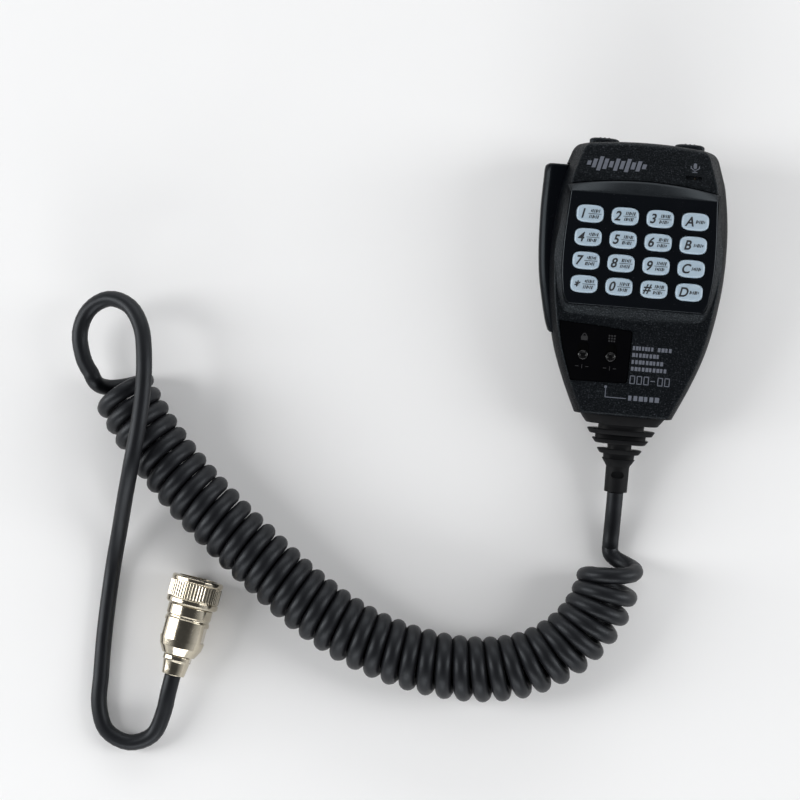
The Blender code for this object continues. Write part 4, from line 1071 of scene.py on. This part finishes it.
def face_print():
    """The mark, legends and pictogram printed on the face, all of them plain shapes."""
    levels = (0.30, 0.62, 1.0, 0.74, 0.44, 0.86, 0.58, 0.94, 0.5, 0.72, 0.34)
    marks = [strip(-21.2 + 1.98 * i, -19.8 + 1.98 * i, 31.0, 5.2 * level, 0.25)
             for i, level in enumerate(levels)]
    x = SOUND_XY[0] + 0.2
    marks += [thin(stadium(0.6, -0.4, 0.5, 8), x, 32.6), strip(x - 0.16, x + 0.16, 30.8, 0.9),
              strip(x - 0.9, x + 0.9, 30.4, 0.3)]
    for side in (-1, 1):
        hook = ((1.3, 1.0), (1.65, 1.0), (1.65, 0.1), (0.3, -0.75), (0.3, -0.4), (1.3, 0.25))
        marks.append(thin([(side * a, b) for a, b in hook], x, 31.7))
    for start, end, count, y in ((0.9, 8.6, 7, -34.1), (0.9, 10.9, 8, -36.6), (0.9, 12.5, 9, -39.1),
                                 (0.9, 14.0, 10, -41.6), (9.9, 15.2, 4, -34.1)):
        marks += blocks(start, end, count, y, 1.45)
    for low in (0.8, 3.3, 5.8, 10.8, 13.3):
        marks += [strip(low, low + 0.32, -45.6, 3.1), strip(low + 1.6, low + 1.92, -45.6, 3.1),
                  strip(low, low + 1.92, -44.2, 0.32), strip(low, low + 1.92, -47.0, 0.32)]
    marks += [strip(8.3, 9.9, -45.6, 0.32), thin(circle(0.5, 20), -7.6, -48.9),
              strip(-7.62, -7.34, -50.8, 3.7), strip(-7.5, 0.1, -52.6, 0.28)]
    marks += blocks(0.9, 12.4, 6, -52.3, 1.8)
    add("face_print", inked(marks, lambda x, y: face_z(y)), "housing", "textured_case", finish="grey_ink",
        sharp=20)


def window_print():
    """A padlock and a keypad above the two knobs, and marks for their positions below them."""
    icons = []
    for x, _ in KNOB_XY:
        icons += [strip(x - 0.13, x + 0.13, -42.2, 1.5), strip(x - 2.4, x - 1.2, -42.2, 0.26),
                  strip(x + 1.2, x + 2.4, -42.2, 0.26)]
    lock_x, tone_x = (x for x, _ in KNOB_XY)
    bow = [(0.85 * math.cos(math.pi * i / 12), 1.1 * math.sin(math.pi * i / 12)) for i in range(13)]
    hollow = [(a * 0.62, b * 0.72) for a, b in reversed(bow)]
    icons += [thin(rounded([(-1.2, -0.8), (1.2, -0.8), (1.2, 0.8), (-1.2, 0.8)], 0.3), lock_x, -31.9),
              thin(bow + hollow, lock_x, -31.2)]
    for dot in range(9):
        left, y = tone_x - 1.35 + 0.95 * (dot % 3), -32.3 + 0.95 * (dot // 3)
        icons.append(strip(left, left + 0.6, y, 0.6))
    pane = inked(icons, lambda x, y: face_z(y) - WINDOW_SUNK, 0.015, 0.1)
    add("window_print", pane, "housing", "smoked_window", finish="window_ink", sharp=20)


# ---- strain relief, screws, hanger and plug

def strain_relief():
    """Ribbed boot below the case, with a neck and a flange inside."""
    neck = ((-7.3, 7.6, 6.4), (-4.7, 7.6, 6.4), (-4.7, 5.5, 4.5), (-0.02, 5.5, 4.5))
    rings = []
    for down, w, h in rounded(neck + BOOT, 0.28, 2, False):
        power = 3.0 - share_of(*BOOT_ROUNDS, down)
        rings.append([(x, BOTTOM_Y - down, BOOT_Z + z) for x, z in superellipse(w, h, 64, power)])
    down, radius, half_length = BOOT_SLOT
    oval = [(b, a) for a, b in stadium(radius, -half_length, half_length)]
    slot = moved(prism(oval, 3.2, 8.0), 0.0, BOTTOM_Y - down, BOOT_Z)
    add("strain_relief_boot", carve(loft(rings), [slot]), "housing", "black_rubber", "strain_relief",
        sharp=50)


def screw(radius, head_radius, head_height, length, cross):
    """A cross-recess screw, its head's outer face at z = 0; cross is the recess's half-length."""
    profile = eased([(0.0, 0.05), (0.0, head_radius * 0.72), (0.55, head_radius), (head_height, head_radius),
                     (head_height, radius), (length - 1.0, radius), (length, radius * 0.4)], 0.18)
    recess = [box(-cross, cross, -0.35, 0.35, -1.0, 0.95), box(-0.35, 0.35, -cross, cross, -1.0, 0.95)]
    return carve(turned(profile, 40), recess)


def screws():
    for number, (x, y) in enumerate(CASE_SCREWS, 1):
        node = f"case_screw_{number}"
        made = moved(screw(1.2, 2.1, 1.9, 18.6, 1.3), x, y, 1.2)
        add(f"{node}_detail", made, "housing", "zinc_steel", node, sharp=40)


def hanger():
    radius, thick = HANGER_HEAD
    low = -(HANGER_GAP + thick)
    profile = [(-GAP, 1.75), (-GAP, HANGER_NECK), (-HANGER_GAP, HANGER_NECK),
               (-HANGER_GAP - 0.3, radius - 0.2), (-HANGER_GAP - 1.0, radius), (low + 0.9, radius),
               (low + 0.2, radius - 0.5), (low, radius - 1.2), (low, 3.3), (low + 2.6, 3.3),
               (low + 2.6, 1.75)]
    button = turned(eased(profile, 0.35, closed=True), 72, closed=True)
    add("hanger_button_turned", moved(button, 0.0, HANGER_Y), "housing", "nickel_plate", "hanger_button",
        sharp=40)
    add("hanger_screw_detail", moved(screw(1.35, 2.9, 2.0, 12.8, 1.7), 0.0, HANGER_Y, low + 0.3), "housing",
        "zinc_steel", "hanger_screw", sharp=40)


def flats(inner, outer, low, high):
    """Two boxes that cut flats on opposite sides of a turned piece."""
    return [box(*sorted((side * inner, side * outer)), -5.0, 5.0, low, high) for side in (1, -1)]


def plug():
    """The plug's four visible pieces, which go with the cord."""
    bore, barrel = BARREL_RADIUS
    shell = PLUG_BODY_RADIUS
    low, high = RING_SPAN
    profile = [(0.0, bore), (0.0, barrel), (high + GAP, barrel), (high + GAP, shell), (13.0, shell),
               (13.2, shell - 0.35), (14.0, shell - 0.35), (14.2, shell), (22.0, shell), (24.5, shell - 0.5),
               (27.5, shell - 2.2), (27.5, 3.4), (12.0, 3.4), (12.0, bore)]
    body = carve(turned(eased(profile, 0.25, closed=True), 96, closed=True), flats(7.4, 9.0, 15.5, 21.5))
    pieces = [add("plug_body_turned", body, "housing", "nickel_plate", "plug_body", place=PLUG, even=True)]

    inner, outer = RING_RADIUS
    knurl_low, knurl_high = low + 2.2, high - 2.6

    def knurl(angle, z, radius):
        if radius < outer - 0.6 or not knurl_low < z < knurl_high:
            return 0.0
        return -0.42 * abs(math.sin(KNURLS * angle / 2)) ** 1.4
    steps = [knurl_low + (knurl_high - knurl_low) * i / 6 for i in range(1, 6)]
    outline = eased([(low, inner), (low, outer - 0.5), (low + 0.5, outer), (knurl_low - 0.5, outer),
                     (knurl_low - 0.3, outer - 0.35), (knurl_low - 0.05, outer - 0.35)], 0.12)
    outline += [(knurl_low + 0.05, outer)] + [(z, outer) for z in steps] + [(knurl_high - 0.05, outer)]
    outline += eased([(knurl_high + 0.05, outer - 0.35), (knurl_high + 0.3, outer - 0.35),
                      (knurl_high + 0.5, outer), (high - 0.6, outer), (high, outer - 0.6),
                      (high, inner)], 0.12)
    ring = turned(outline, KNURLS * 6, closed=True, ripple=knurl)
    pieces.append(add("coupling_ring_knurled", ring, "coupling_ring", "nickel_plate", "coupling_ring",
                      place=PLUG, sharp=38))

    contacts = [(0.0, 0.0)] + [(3.7 * math.cos(2 * math.pi * i / 7), 3.7 * math.sin(2 * math.pi * i / 7))
                               for i in range(7)]
    holes = [moved(prism(circle(0.6, 20), -1.0, 6.0), x, y) for x, y in contacts]
    face = turned(eased([(0.6, 0.05), (0.6, bore - GAP), (11.7, bore - GAP), (11.7, 0.05)], 0.2), 64)
    pieces.append(add("plug_insert_face", carve(face, holes), "housing", "black_moulding", "plug_insert",
                      place=PLUG, sharp=40))

    profile = [(27.8, 0.05), (27.8, 5.6), (29.4, 5.6), (30.0, 4.9), (PLUG_LENGTH - 2.2, 4.5),
               (PLUG_LENGTH, 4.2), (PLUG_LENGTH, 0.05)]
    clamp = carve(turned(eased(profile, 0.2), 72), flats(4.9, 7.0, 27.0, 29.6))
    pieces.append(add("plug_clamp_turned", clamp, "housing", "nickel_plate", "plug_clamp", place=PLUG,
                      sharp=40))
    return pieces


# ---- floor, light and camera

def camera():
    data = bpy.data.cameras.new("camera")
    data.lens = CAMERA_LENS
    data.sensor_width = 36.0
    data.clip_start = 0.02
    data.clip_end = 20.0
    made = linked("camera", data)
    pitch, yaw, roll = [math.radians(angle) for angle in CAMERA_TURN]
    turn = Matrix.Rotation(roll, 4, "Z") @ Matrix.Rotation(yaw, 4, "Y") @ Matrix.Rotation(pitch, 4, "X")
    place = BENCH @ (Vector(CAMERA_TARGET) + turn @ Vector(CAMERA_OFFSET))
    made.matrix_world = Matrix.Translation(place) @ LEAN @ turn
    bpy.context.scene.camera = made


def softbox(name, place, size, power):
    data = bpy.data.lights.new(name, "AREA")
    data.shape = "RECTANGLE"
    data.size, data.size_y = size
    data.energy = power
    made = linked(name, data)
    made.location = place
    made.rotation_euler = (Vector(LIT_PLACE) - Vector(place)).to_track_quat("-Z", "Y").to_euler()


def studio():
    bm = bmesh.new()
    bmesh.ops.create_grid(bm, x_segments=8, y_segments=8, size=3.0)
    mesh = meshed("floor", bm)
    paper = Finish("pale_paper", (0.92, 0.92, 0.92), 0.9)
    paper.colour(paper.noise(40.0, 3.0), (0.91, 0.91, 0.91), (0.93, 0.93, 0.93))
    mesh.materials.append(paper.material)
    linked("floor", mesh)
    world = bpy.data.worlds.new("studio")
    world.use_nodes = True
    tree = world.node_tree
    background = tree.nodes["Background"]
    background.inputs["Color"].default_value = (0.95, 0.97, 1.0, 1.0)
    parts = tree.nodes.new("ShaderNodeSeparateXYZ")
    tree.links.new(tree.nodes.new("ShaderNodeTexCoord").outputs["Generated"], parts.inputs["Vector"])
    fade = tree.nodes.new("ShaderNodeMapRange")
    for label, value in SKY_FADE.items():
        fade.inputs[label].default_value = value
    tree.links.new(parts.outputs["Z"], fade.inputs["Value"])
    tree.links.new(fade.outputs["Result"], background.inputs["Strength"])
    bpy.context.scene.world = world
    for name, light in SOFTBOXES.items():
        softbox(name, *light)
    bpy.context.scene.view_settings.view_transform = "Standard"


# ---- everything

FINISHES = make_finishes()
for piece in frame["record"]["subparts"]:
    slots = frame["nodes"][piece["node"]].data.materials
    slots.clear()
    slots.append(FINISHES[piece["material_slot"]])

for build in (front_case, rear_case, keypad_panel, keys, switch_window, knobs, top_buttons, ptt_lever,
              face_print, window_print, strain_relief, screws, hanger):
    build()
curly_cord(plug())
studio()
camera()
